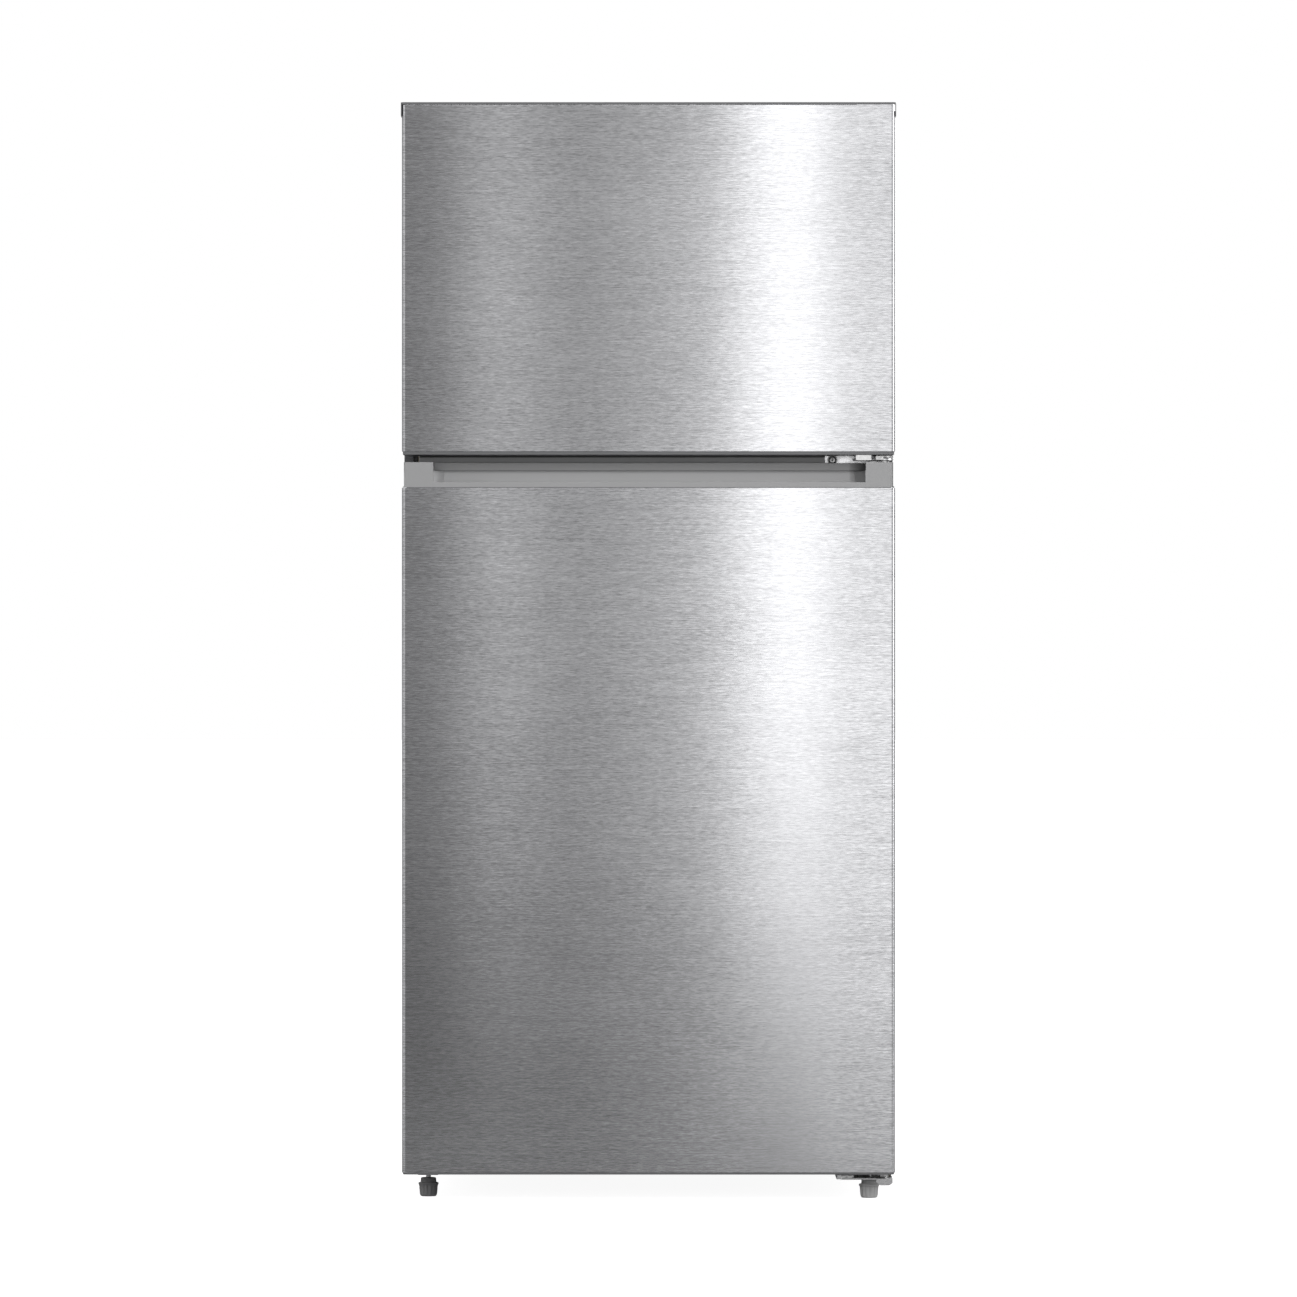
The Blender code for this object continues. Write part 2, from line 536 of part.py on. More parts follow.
# ================================================================ HINGES
top = make("top_hinge_bracket", prism([(300, -214), (300, -284), (336, -289), (348.5, -299.5), (348.5, -345), (353, -350), (363, -350), (367.5, -345), (367.5, -299.5),
                                       (370, -289), (370, -214)], "Z", 1656.3, 1659.3), "zinc_steel")
join(top, turned([(3.4, 1641.0), (4.0, 1642.5), (4.0, 1659.6), (7.0, 1659.7), (7.0, 1661.5), (5.5, 1662.5)], (HX, HY, 0), n=16))
hood = make("top_hinge_cover", loft([[(x, y, z) for x, y in round_rect(292 + d, 372.0 - d, -294 + d, -206 - d, 8, 2)] for d, z in ((0, 1656.3), (0, 1664), (3, 1667.3))]), "cap_dark")
cut(hood, boxes((295, 374.5, -300, -209, 1650, 1661.5)))
cut(hood, boxes((330, 376, -300, -280, 1650, 1661.5)))

knuckle = [(HX + 14.6 * math.cos(math.radians(t)), HY + 14.6 * math.sin(math.radians(t))) for t in range(200, 361, 20)]
mid = make("middle_hinge_bracket", boxes((269.4, 368.0, -301.6, -298.4, 1115.0, 1133.2)), "zinc_steel")
join(mid, prism([(312, -300), (312, -312), (318, -322), *knuckle, (HX + 14.6, -306), (367, -300)], "Z", 1124.9, 1128.0))
cut(mid, turned([(4.4, -20), (4.4, 20)], (HX, HY, 1125), n=16))
cut(mid, turned([(3.1, -10), (3.1, 10)], (281.0, -300, 1126.4), "Y", 12))
make("middle_hinge_pin", turned([(3.4, 1104), (4.0, 1105.5), (4.0, 1128.2), (14.0, 1128.3), (14.6, 1129), (14.6, 1132.0), (14.0, 1132.7), (4.0, 1132.8), (4.0, 1151.5), (3.4, 1153)], (HX, HY, 0), n=20), "pin_steel")
make("middle_hinge_screw", turned([(2.6, 1.0), (2.6, -3.8), (6.0, -3.9), (6.0, -4.9), (4.6, -6.6), (2.0, -7.0)], (281.0, -298, 1126.4), "Y", 16), "pin_steel")

low = make("bottom_hinge_bracket", prism([(286, -246), (286, -340), (294, -360), (362, -364), (371, -356), (371, -246)], "Z", 31.0, 34.0), "zinc_steel")
join(low, boxes((286, 312, -359.0, -356.0, 31.5, 37.8)))
join(low, boxes((286, 358, -248.5, -245.5, 31.5, 37.6)))
join(low, prism([(346, 33), (371, 33), (371, 26), (366, 22.5), (352, 22.5), (346, 27)], "Y", -364, -361))
cut(low, turned([(4.4, -20), (4.4, 20)], (HX, HY, 32), n=16))
cut(low, turned([(4.6, -20), (4.6, 20)], (337, -300, 32), n=16))
make("bottom_hinge_pin", turned([(4.8, 22.5), (6.4, 24), (6.4, 30.6), (4.0, 30.7), (4.0, 34.3), (7.2, 34.4), (7.2, 39.0), (4.0, 39.1), (4.0, 54.5), (3.4, 56)], (HX, HY, 0), n=16), "pin_steel")


# ================================================================ FEET AND ROLLERS
def foot(name, x, y, stem_top, pivot):
    loops = []
    for r, z, flat in ((11.5, 0.0, 1), (13.4, 2.0, 1), (14.2, 14.0, 1), (15.2, 19.6, 1), (15.4, 21.0, 0), (14.6, 22.2, 0), (12.2, 22.6, 0), (11.0, 27.0, 0), (9.0, 28.6, 0), (4.0, 28.7, 0), (4.0, stem_top, 0)):
        ring = []
        for k in range(16):
            a = 2 * math.pi * (k + 0.5) / 16
            rr = r * math.cos(math.pi / 8) / max(math.cos((a + math.pi / 8) % (math.pi / 4) - math.pi / 8), 0.9) if flat else r
            ring.append((x + rr * math.cos(a), y + rr * math.sin(a), z))
        loops.append(ring)
    return make(name, loft(loops), "foot_plastic", pivot)


foot("foot_left", -337, -268, 37.5, pivot_empty("foot_left_axis", -337, -268, 0))
foot("foot_right", 337, -300, 36.8, pivot_empty("foot_right_axis", 337, -300, 0))

for side, label in ((-1, "left"), (1, "right")):
    xc = side * 330
    hub = pivot_empty(f"roller_{label}_axis", xc, 330, WHEEL_R)
    make(f"roller_{label}", turned([(4.5, -10), (9, -10), (9, -8.5), (17.5, -8.5), (WHEEL_R, -6.5), (WHEEL_R, 6.5), (17.5, 8.5), (9, 8.5), (9, 10), (4.5, 10)],
                                   (xc, 330, WHEEL_R), "X", 28, ring=True), "wheel_nylon", hub)


# ================================================================ DOORS
def door_outline(hx, yf, yb, c):
    return [(-hx, yb), (-hx, yf + c), (-hx + c, yf), (hx - c, yf), (hx, yf + c), (hx, yb)]


def skin(name, z0, z1, parent):
    """Folded steel: front, two rounded edges, two sides and their return lips."""
    hx, r = DOOR_W / 2, 6.0
    side = [(hx - 14, -311.2), (hx, -311.2)]
    arc = [(hx - r + r * math.cos(math.radians(t)), Y_FRONT + r + r * math.sin(math.radians(t))) for t in (0, -22.5, -45, -67.5, -90)]
    half = side + arc
    line = half + [(-x, y) for x, y in reversed(half)]
    bm = sheet_wrap(line, z0, z1)
    bm.normal_update()
    front = [f for f in bm.faces if abs(f.normal.y) > 0.99 and f.calc_center_median().y < -370][0]
    if front.normal.y > 0:
        bmesh.ops.reverse_faces(bm, faces=bm.faces)
    obj = make(name, bm, "door_steel", parent, normals=False)
    solidify(obj, 0.8)
    return obj


def door_liner(name, fz0, fz1, dz0, dz1, dx, parent):
    """Formed sheet: flange, raised dike all round, and a sunk middle that carries the bins."""
    wall = 30.0
    steps = ((366.0, fz0, fz1, Y_DOOR_BACK, 6), (dx, dz0, dz1, Y_DOOR_BACK, 16), (dx - 3, dz0 + 3, dz1 - 3, -264.0, 16), (dx - 6, dz0 + 6, dz1 - 6, -262.0, 15),
             (dx - wall + 3, dz0 + wall - 3, dz1 - wall + 3, -262.0, 12), (dx - wall, dz0 + wall, dz1 - wall, -264.0, 12), (dx - wall - 1, dz0 + wall + 1, dz1 - wall - 1, -299.0, 12))
    bm = bmesh.new()
    rings = [[bm.verts.new((x, y, z)) for x, z in round_rect(-h, h, a, b, r, 3)] for h, a, b, y, r in steps]
    for a, b in zip(rings, rings[1:]):
        for i in range(len(a)):
            j = (i + 1) % len(a)
            bm.faces.new((a[i], a[j], b[j], b[i]))
    floor = bm.faces.new(rings[-1])
    bmesh.ops.recalc_face_normals(bm, faces=bm.faces)
    bm.normal_update()
    if floor.normal.y < 0:
        bmesh.ops.reverse_faces(bm, faces=bm.faces)
    obj = make(name, bm, "liner_white", parent, normals=False)
    solidify(obj, 1.2)
    return obj


def door_foam(name, z0, z1, dz0, dz1, dx, parent):
    obj = make(name, prism(door_outline(373.3, -376.3, -311.1 - 1.2, 7), "Z", z0, z1), "foam_cream", parent)
    # the slab's middle is proud up to the liner's floor, and a ring of foam fills the dike
    join(obj, boxes((-dx + 9, dx - 9, -314, -300.8, dz0 + 9, min(dz1 - 9, z1 - 0.5))))
    if dz1 - 9 > z1:
        join(obj, boxes((-dx + 9, dx - 9, -312.1, -300.8, z1 - 20, dz1 - 9)))
    ring = frame_ring([(8, -301.5), (8, -266.5), (24, -266.5), (24, -301.5)], -dx, dx, dz0, dz1, 16, 2)
    join(obj, ring)
    return obj


def gasket(name, z0, z1, parent):
    """Magnetic seal: root at the door, bellows, magnet pocket at the cabinet."""
    return make(name, frame_ring([(2, -309.2), (0, -305), (1.5, -302.5), (0, -300), (1, -298.3), (17, -298.3), (19, -300), (16, -303), (19, -306), (17, -309.2)],
                                 -351, 351, z0, z1, 8, 2), "gasket_rubber", parent)


def bin_(name, z0, z1, hx, y_in, parent):
    obj = make(name, tub(-hx, hx, -297.8, y_in, z0, z1, 3, 3, 16, 3, 3), "clear_plastic", parent)
    return obj


# ---- freezer door
P = freezer_axis
sk = skin("freezer_door_skin", FREEZER_SKIN_Z0, FREEZER_SKIN_Z1, P)
cut(sk, boxes((316, 380, -374, -300, 1654.7, 1680)))
cap = make("freezer_door_top_cap", prism(round_rect(-TRIM_W / 2, TRIM_W / 2, Y_FRONT, -311.4, 5, 2), "Z", 1664.8, FREEZER_Z1), "cap_dark", P)
join(cap, prism(door_outline(373.2, -376.2, -312.4, 7), "Z", 1640, 1666))
join(cap, boxes((374.8, TRIM_W / 2, -376, -312.5, 1647, 1666), (-TRIM_W / 2, -374.8, -376, -312.5, 1647, 1666)))
cut(cap, boxes((316, 380, -374, -300, 1655, 1680)))
cut(cap, turned([(4.6, 1630), (4.6, 1660)], (HX, HY, 0), n=16))
foot_cap = make("freezer_door_bottom_cap", prism(round_rect(-373, 373, -377.0, -311.4, 5, 2), "Z", FREEZER_Z0, FREEZER_SKIN_Z0 - 0.3), "cap_dark", P)
join(foot_cap, prism(door_outline(373.2, -376.2, -312.4, 7), "Z", 1136, 1158))
cut(foot_cap, prism([(-368, 1131), (-366, 1148), (-360, 1153), (-344, 1153), (-336, 1148), (-332, 1131)], "X", -330, 290))
cut(foot_cap, turned([(4.6, 1120), (4.6, 1160)], (HX, HY, 0), n=16))
stop = make("freezer_door_stop", prism([(314.5, -375), (338.4, -375), (338.4, -352), (330, -334), (314.5, -334)], "Z", 1129.4, 1132.7), "zinc_steel", P)
join(stop, boxes((314.5, 338.4, -375, -371.8, 1124.5, 1132)))
door_foam("freezer_door_foam", 1158.3, 1639.7, 1170, 1602, 304, P)
door_liner("freezer_door_liner", 1142, 1652, 1170, 1602, 304, P)
gasket("freezer_gasket", 1136.5, 1640.0, P)
bin_("freezer_bin_lower", 1212, 1290, 268, -216, P)
bin_("freezer_bin_upper", 1430, 1508, 268, -216, P)

# ---- fresh food door
P = fridge_axis
skin("fridge_door_skin", 42.5, FRIDGE_SKIN_Z1, P)
handle = make("fridge_door_handle_cap", prism(round_rect(-371.5, 371.5, -376.5, -311.4, 4, 2), "Z", 1083.3, FRIDGE_Z1), "trim_grey", P)
join(handle, prism(door_outline(373.2, -376.2, -312.4, 7), "Z", 1056, 1085.0))
scoop = [(-380, 1091.0), (-369.5, 1091.0), (-366.8, 1088.5), (-366.0, 1070), (-361, 1064), (-347, 1064), (-340, 1070), (-336, 1084), (-333.5, 1095),
         (-329.0, 1106.5), (-326.0, 1112.0), (-380, 1112.0)]
cut(handle, loft([[(-327 + 0.34 * (y - Y_FRONT), y, z) for y, z in scoop], [(330 - 0.34 * (y - Y_FRONT), y, z) for y, z in scoop]]))
cut(handle, prism([(-380, 1108.6), (-324.0, 1108.6), (-321.0, 1110.5), (-320.0, 1123.5), (-380, 1123.5)], "X", -327, 330))
cut(handle, turned([(4.6, 1098), (4.6, 1130)], (HX, HY, 0), n=16))
low_cap = make("fridge_door_bottom_cap", prism(round_rect(-373, 373, -377.0, -311.4, 5, 2), "Z", FRIDGE_Z0, 42.2), "cap_dark", P)
join(low_cap, prism(door_outline(373.2, -376.2, -312.4, 7), "Z", 41, 60))
cut(low_cap, turned([(4.6, 30), (4.6, 70)], (HX, HY, 0), n=16))
door_foam("fridge_door_foam", 60.3, 1055.7, 108, 1080, 314, P)
door_liner("fridge_door_liner", 56, 1112, 108, 1080, 314, P)
gasket("fridge_gasket", 66.0, 1114.0, P)
bin_("fridge_bin_lower", 146, 262, 278, -206, P)
bin_("fridge_bin_middle", 436, 520, 278, -206, P)
bin_("fridge_bin_upper", 726, 810, 278, -206, P)

bpy.context.view_layer.update()
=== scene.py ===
import json
import math

import bmesh
import bpy
from mathutils import Matrix, Vector


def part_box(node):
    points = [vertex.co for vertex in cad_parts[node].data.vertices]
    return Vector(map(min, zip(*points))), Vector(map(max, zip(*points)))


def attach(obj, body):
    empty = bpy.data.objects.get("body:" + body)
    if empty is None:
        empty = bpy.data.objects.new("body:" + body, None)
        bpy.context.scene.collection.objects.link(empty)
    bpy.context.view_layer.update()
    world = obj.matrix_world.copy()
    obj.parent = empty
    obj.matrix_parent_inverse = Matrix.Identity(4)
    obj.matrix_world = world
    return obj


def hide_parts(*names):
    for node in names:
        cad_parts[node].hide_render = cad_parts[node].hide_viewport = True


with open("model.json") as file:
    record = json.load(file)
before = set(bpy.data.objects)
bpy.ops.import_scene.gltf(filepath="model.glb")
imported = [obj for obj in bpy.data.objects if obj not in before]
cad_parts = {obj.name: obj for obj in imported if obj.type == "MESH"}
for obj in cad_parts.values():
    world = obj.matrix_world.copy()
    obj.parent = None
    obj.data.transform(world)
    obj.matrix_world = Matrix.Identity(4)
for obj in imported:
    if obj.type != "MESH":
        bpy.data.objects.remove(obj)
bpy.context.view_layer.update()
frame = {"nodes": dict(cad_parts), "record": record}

MM = 0.001
scene = bpy.context.scene
nodes = frame["nodes"]


def mmbox(name):
    lo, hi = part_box(name)
    return [v / MM for v in lo], [v / MM for v in hi]


# ================================================================ camera
FRONT_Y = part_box("fridge_door_skin")[0].y
CAM_D = 12.0
FRAME_W = 1.9689  # metres across the picture at the door fronts
cam = bpy.data.cameras.new("camera")
cam_ob = bpy.data.objects.new("camera", cam)
scene.collection.objects.link(cam_ob)
scene.camera = cam_ob
cam.sensor_fit = "HORIZONTAL"
cam.sensor_width = 36.0
cam.lens = 36.0 * CAM_D / FRAME_W
cam.clip_start, cam.clip_end = 0.5, 200.0
CAM_Z = 0.8386
cam_ob.location = (0.0, FRONT_Y - CAM_D, CAM_Z)
cam_ob.rotation_euler = (math.radians(90), 0, 0)


# ================================================================ materials
def new_mat(name, colour, rough, metal=0.0, **sockets):
    m = bpy.data.materials.new(name)
    m.use_nodes = True
    p = m.node_tree.nodes["Principled BSDF"]
    p.inputs["Base Color"].default_value = (*colour, 1.0)
    p.inputs["Roughness"].default_value = rough
    p.inputs["Metallic"].default_value = metal
    for key, value in sockets.items():
        p.inputs[key.replace("_", " ")].default_value = value
    m.diffuse_color = (*colour, 1.0)
    return m


class Nodes:
    """Short names for building a node tree."""

    def __init__(self, m):
        self.t = m.node_tree
        self.p = m.node_tree.nodes["Principled BSDF"]
        self.coord = None

    def add(self, kind, **props):
        n = self.t.nodes.new(kind)
        for k, v in props.items():
            setattr(n, k, v)
        return n

    def link(self, a, b):
        self.t.links.new(a, b)

    def where(self, scale=(1, 1, 1), rotate=(0, 0, 0)):
        if self.coord is None:
            self.coord = self.add("ShaderNodeTexCoord")
        m = self.add("ShaderNodeMapping")
        m.inputs["Scale"].default_value = scale
        m.inputs["Rotation"].default_value = rotate
        self.link(self.coord.outputs["Object"], m.inputs["Vector"])
        return m.outputs["Vector"]

    def noise(self, scale=(1, 1, 1), detail=2.0, rough=0.5, rotate=(0, 0, 0), size=1.0, distortion=0.0):
        n = self.add("ShaderNodeTexNoise")
        n.inputs["Scale"].default_value = size
        n.inputs["Detail"].default_value = detail
        n.inputs["Roughness"].default_value = rough
        n.inputs["Distortion"].default_value = distortion
        self.link(self.where(scale, rotate), n.inputs["Vector"])
        return n.outputs["Fac"]

    def voronoi(self, scale=(1, 1, 1), feature="F1", output="Distance", randomness=1.0):
        n = self.add("ShaderNodeTexVoronoi", feature=feature)
        n.inputs["Scale"].default_value = 1.0
        n.inputs["Randomness"].default_value = randomness
        self.link(self.where(scale), n.inputs["Vector"])
        return n.outputs[output]

    def math(self, op, a, b=0.0, clamp=False):
        n = self.add("ShaderNodeMath", operation=op)
        n.use_clamp = clamp
        for i, v in enumerate((a, b)):
            if isinstance(v, (int, float)):
                n.inputs[i].default_value = v
            else:
                self.link(v, n.inputs[i])
        return n.outputs[0]

    def span(self, x, a, b, c, d):
        n = self.add("ShaderNodeMapRange")
        for key, v in (("From Min", a), ("From Max", b), ("To Min", c), ("To Max", d)):
            n.inputs[key].default_value = v
        self.link(x, n.inputs["Value"])
        return n.outputs["Result"]

    def colours(self, fac, stops, mode="LINEAR"):
        n = self.add("ShaderNodeValToRGB")
        r = n.color_ramp
        r.interpolation = mode
        while len(r.elements) > 1:
            r.elements.remove(r.elements[-1])
        r.elements[0].position = stops[0][0]
        r.elements[0].color = (*stops[0][1], 1.0)
        for pos, c in stops[1:]:
            e = r.elements.new(pos)
            e.color = (*c, 1.0)
        self.link(fac, n.inputs["Fac"])
        return n.outputs["Color"]

    def tint(self, colour, fac, low, high):
        """colour times a grey that runs from low to high with fac."""
        a, b = [c * low for c in colour], [c * high for c in colour]
        return self.colours(fac, ((0.0, a), (1.0, b)))

    def bump(self, height, strength, distance, under=None):
        n = self.add("ShaderNodeBump")
        n.inputs["Strength"].default_value = strength
        n.inputs["Distance"].default_value = distance
        self.link(height, n.inputs["Height"])
        if under is not None:
            self.link(under, n.inputs["Normal"])
        return n.outputs["Normal"]

    def into(self, socket, value):
        self.link(value, self.p.inputs[socket])


def brushed(name, colour, rough, aniso, along=(105, 105, 1150), depth=0.26, contrast=0.27):
    """Horizontally brushed sheet: short, slightly wavy hairlines in colour, gloss and relief."""
    m = new_mat(name, colour, rough, 1.0)
    n = Nodes(m)
    fine = n.noise(along, detail=3.0, rough=0.62, distortion=0.06)
    long_ = n.noise((along[0] * 0.12, along[1] * 0.12, along[2] * 0.7), detail=2.0, rough=0.6)
    cloud = n.noise((3.0, 3.0, 7.0), detail=2.0)
    mix = n.math("ADD", n.math("MULTIPLY", fine, 0.66), n.math("ADD", n.math("MULTIPLY", long_, 0.24), n.math("MULTIPLY", cloud, 0.10)))
    # painted highlight: in an upright band round x = 0.225 m, where the soft box highlight falls, the grain's colour
    # swing is cut by up to 0.55, as a bright highlight would wash it out
    sep = n.add("ShaderNodeSeparateXYZ")
    n.link(n.coord.outputs["Object"], sep.inputs[0])
    off = n.math("DIVIDE", n.math("SUBTRACT", sep.outputs["X"], 0.225), 0.075)
    band = n.math("POWER", 2.718, n.math("MULTIPLY", n.math("MULTIPLY", off, off), -1.0))
    highlight_grain_fade = n.math("SUBTRACT", 1.0, n.math("MULTIPLY", band, 0.55))
    swing = n.math("MULTIPLY", n.math("SUBTRACT", mix, 0.5), n.math("MULTIPLY", highlight_grain_fade, contrast * 10))
    level = n.math("ADD", swing, 1.0)
    col = n.add("ShaderNodeVectorMath", operation="SCALE")
    col.inputs[0].default_value = colour
    n.link(level, col.inputs["Scale"])
    n.link(col.outputs["Vector"], n.p.inputs["Base Color"])
    n.into("Roughness", n.span(mix, 0.3, 0.7, rough + 0.03, rough - 0.03))
    n.into("Normal", n.bump(mix, depth, 0.00006))
    tangent = n.add("ShaderNodeTangent", direction_type="RADIAL", axis="Z")
    n.link(tangent.outputs["Tangent"], n.p.inputs["Tangent"])
    n.p.inputs["Anisotropic"].default_value = aniso
    n.p.inputs["Anisotropic Rotation"].default_value = 0.25
    return m


def moulded(name, colour, rough, grain=1400.0, relief=0.12, contrast=0.05, **sockets):
    """Injection moulded plastic: spark-eroded grain, faint flow clouds and gloss patches."""
    m = new_mat(name, colour, rough, 0.0, **sockets)
    n = Nodes(m)
    g = n.noise((grain,) * 3, detail=2.0, rough=0.6)
    cloud = n.noise((9, 9, 9), detail=3.0)
    both = n.math("ADD", n.math("MULTIPLY", g, 0.5), n.math("MULTIPLY", cloud, 0.5))
    n.into("Base Color", n.tint(colour, both, 1 - contrast * 2, 1 + contrast * 2))
    n.into("Roughness", n.span(both, 0.3, 0.7, rough - 0.05, rough + 0.05))
    n.into("Normal", n.bump(g, relief, 0.0002))
    return m


def painted(name, colour, rough, grain=520.0, relief=0.25, contrast=0.05, **sockets):
    """Powder coat: fine orange peel with a little speckle."""
    m = new_mat(name, colour, rough, 0.0, **sockets)
    n = Nodes(m)
    g = n.noise((grain,) * 3, detail=3.0, rough=0.55)
    cell = n.voronoi((grain * 1.6,) * 3)
    cloud = n.noise((4, 4, 4), detail=3.0)
    both = n.math("ADD", n.math("MULTIPLY", g, 0.6), n.math("MULTIPLY", cloud, 0.4))
    n.into("Base Color", n.tint(colour, both, 1 - contrast * 2, 1 + contrast * 2))
    n.into("Roughness", n.span(both, 0.3, 0.7, rough - 0.06, rough + 0.06))
    n.into("Normal", n.bump(n.math("ADD", g, n.math("MULTIPLY", cell, 0.4)), relief, 0.0003))
    return m


def plated(name, colour, rough, spangle=130.0, contrast=0.12, relief=0.08):
    """Zinc or nickel plate: spangle, rolling marks and dull spots."""
    m = new_mat(name, colour, rough, 1.0)
    n = Nodes(m)
    cells = n.voronoi((spangle,) * 3, output="Color")
    bw = n.add("ShaderNodeRGBToBW")
    n.link(cells, bw.inputs["Color"])
    marks = n.noise((40, 900, 900), detail=2.0)
    blot = n.noise((60, 60, 60), detail=4.0, rough=0.6)
    mix = n.math("ADD", n.math("MULTIPLY", bw.outputs[0], 0.35), n.math("ADD", n.math("MULTIPLY", marks, 0.25), n.math("MULTIPLY", blot, 0.40)))
    n.into("Base Color", n.tint(colour, mix, 1 - contrast * 2, 1 + contrast * 2))
    n.into("Roughness", n.span(mix, 0.25, 0.75, rough + 0.08, max(rough - 0.08, 0.04)))
    n.into("Normal", n.bump(mix, relief, 0.0004))
    return m


def formed_white(name, colour, rough):
    """Vacuum-formed liner sheet: gloss with soft orange peel and a slightly warm tint in the cloud."""
    m = new_mat(name, colour, rough)
    n = Nodes(m)
    peel = n.noise((70, 70, 70), detail=1.0)
    cloud = n.noise((5, 5, 5), detail=3.0)
    warm = tuple(c * k for c, k in zip(colour, (1.0, 0.985, 0.96)))
    n.into("Base Color", n.colours(cloud, ((0.35, colour), (0.7, warm))))
    n.into("Roughness", n.span(peel, 0.3, 0.7, rough - 0.03, rough + 0.04))
    n.into("Normal", n.bump(peel, 0.012, 0.0004))
    return m


def clear(name, colour, rough, ior, haze=0.0, weight=1.0):
    """See-through plastic or glass, with faint haze and handling marks."""
    m = new_mat(name, colour, rough, 0.0, IOR=ior)
    n = Nodes(m)
    smear = n.noise((22, 22, 22), detail=4.0, rough=0.6, distortion=0.4)
    n.into("Roughness", n.span(smear, 0.35, 0.75, rough, rough + 0.10 + haze))
    n.into("Normal", n.bump(n.noise((60, 60, 60), detail=1.0), 0.04, 0.0006))
    n.into("Base Color", n.tint(colour, smear, 0.97, 1.02))
    n.p.inputs["Transmission Weight"].default_value = weight
    return m


def foam_like(name, colour):
    m = new_mat(name, colour, 0.95)
    n = Nodes(m)
    v = n.voronoi((420,) * 3)
    n.into("Base Color", n.tint(colour, n.noise((60,) * 3, 3.0), 0.85, 1.1))
    n.into("Normal", n.bump(v, 0.5, 0.0006))
    return m


M = {
    "steel": brushed("door_steel", (0.655, 0.657, 0.674), 0.20, 0.90),
    "side": painted("cabinet_paint", (0.085, 0.086, 0.090), 0.40, relief=0.55, contrast=0.08),
    "rail": painted("rail_paint", (0.29, 0.29, 0.294), 0.45),
    "back": plated("back_sheet_coating", (0.42, 0.43, 0.44), 0.48, spangle=45.0, contrast=0.05),
    "zinc": plated("zinc_plate", (0.72, 0.72, 0.73), 0.26),
    "pin": plated("nickel_plate", (0.80, 0.80, 0.80), 0.16, spangle=300.0, contrast=0.05),
    "cap": moulded("trim_dark_plastic", (0.115, 0.116, 0.120), 0.42),
    "trim": moulded("trim_grey_plastic", (0.27, 0.27, 0.273), 0.42, contrast=0.02),
    "handle": moulded("handle_plastic_painted_light_and_shade", (0.27, 0.27, 0.273), 0.42, contrast=0.02),
    "dial": moulded("dial_plastic", (0.50, 0.50, 0.51), 0.35),
    "white": formed_white("liner_sheet", (0.79, 0.80, 0.805), 0.36),
    "white2": moulded("white_plastic", (0.82, 0.83, 0.835), 0.35, contrast=0.015),
    "clearp": clear("clear_plastic", (0.975, 0.99, 0.995), 0.04, 1.16, weight=1.0),
    "glass": clear("shelf_glass", (0.86, 0.96, 0.93), 0.02, 1.52),
    "rubber": moulded("gasket_rubber", (0.20, 0.20, 0.205), 0.62, grain=900, relief=0.2),
    "foam": foam_like("insulating_foam", (0.80, 0.68, 0.42)),
    "enamel": painted("black_enamel", (0.016, 0.016, 0.017), 0.30, grain=260.0, relief=0.15),
    "black": moulded("black_plastic", (0.022, 0.022, 0.023), 0.45),
    "alu": plated("bare_aluminium", (0.78, 0.79, 0.80), 0.32, spangle=220.0, contrast=0.06),
    "copper": plated("copper_tube", (0.72, 0.36, 0.22), 0.25, spangle=180.0, contrast=0.15),
    "foot": moulded("foot_nylon", (0.19, 0.19, 0.193), 0.55, relief=0.3, contrast=0.08),
    "label": moulded("label_film", (0.62, 0.63, 0.64), 0.5, contrast=0.03),
    "ink": moulded("printed_grey", (0.16, 0.17, 0.19), 0.6, contrast=0.05),
    "lamp": clear("lamp_lens_frosted", (0.97, 0.97, 0.94), 0.35, 1.49, weight=0.6),
}

# the handle moulding carries painted light and painted shade in the pocket where the hand goes under the freezer door:
# the lower band is painted lighter, the upper band keeps the plain colour as shade, and both end walls are painted
# darker as shade
n = Nodes(M["handle"])
base = n.p.inputs["Base Color"].links[0].from_socket
sep = n.add("ShaderNodeSeparateXYZ")
n.coord = n.add("ShaderNodeTexCoord")
n.link(n.coord.outputs["Object"], sep.inputs[0])
high = n.span(sep.outputs["Z"], 1.1045, 1.1092, 0.0, 1.0)
deep = n.span(sep.outputs["Y"], -0.3755, -0.3745, 0.0, 1.0)
low = n.math("SUBTRACT", 1.0, high)
# painted light: the lower band of the pocket is 1.68 times lighter; the upper band under the freezer door keeps the
# plain colour and so reads as shade
level = n.math("ADD", n.math("MULTIPLY", low, 1.68), n.math("MULTIPLY", high, 1.0))
# painted shade: the right end wall of the pocket is darkened down to 0.14
end = n.span(sep.outputs["X"], 0.306, 0.331, 0.0, 1.0)
level = n.math("MULTIPLY", level, n.math("SUBTRACT", 1.0, n.math("MULTIPLY", n.math("POWER", end, 0.5), 0.86)))
# painted shade: the left end wall of the pocket is darkened to 0.86
left = n.span(sep.outputs["X"], -0.331, -0.306, 0.86, 1.0)
level = n.math("MULTIPLY", level, left)
shade = n.math("ADD", n.math("MULTIPLY", deep, level), n.math("SUBTRACT", 1.0, deep))
scale = n.add("ShaderNodeVectorMath", operation="SCALE")
n.link(base, scale.inputs[0])
n.link(shade, scale.inputs["Scale"])
n.link(scale.outputs["Vector"], n.p.inputs["Base Color"])

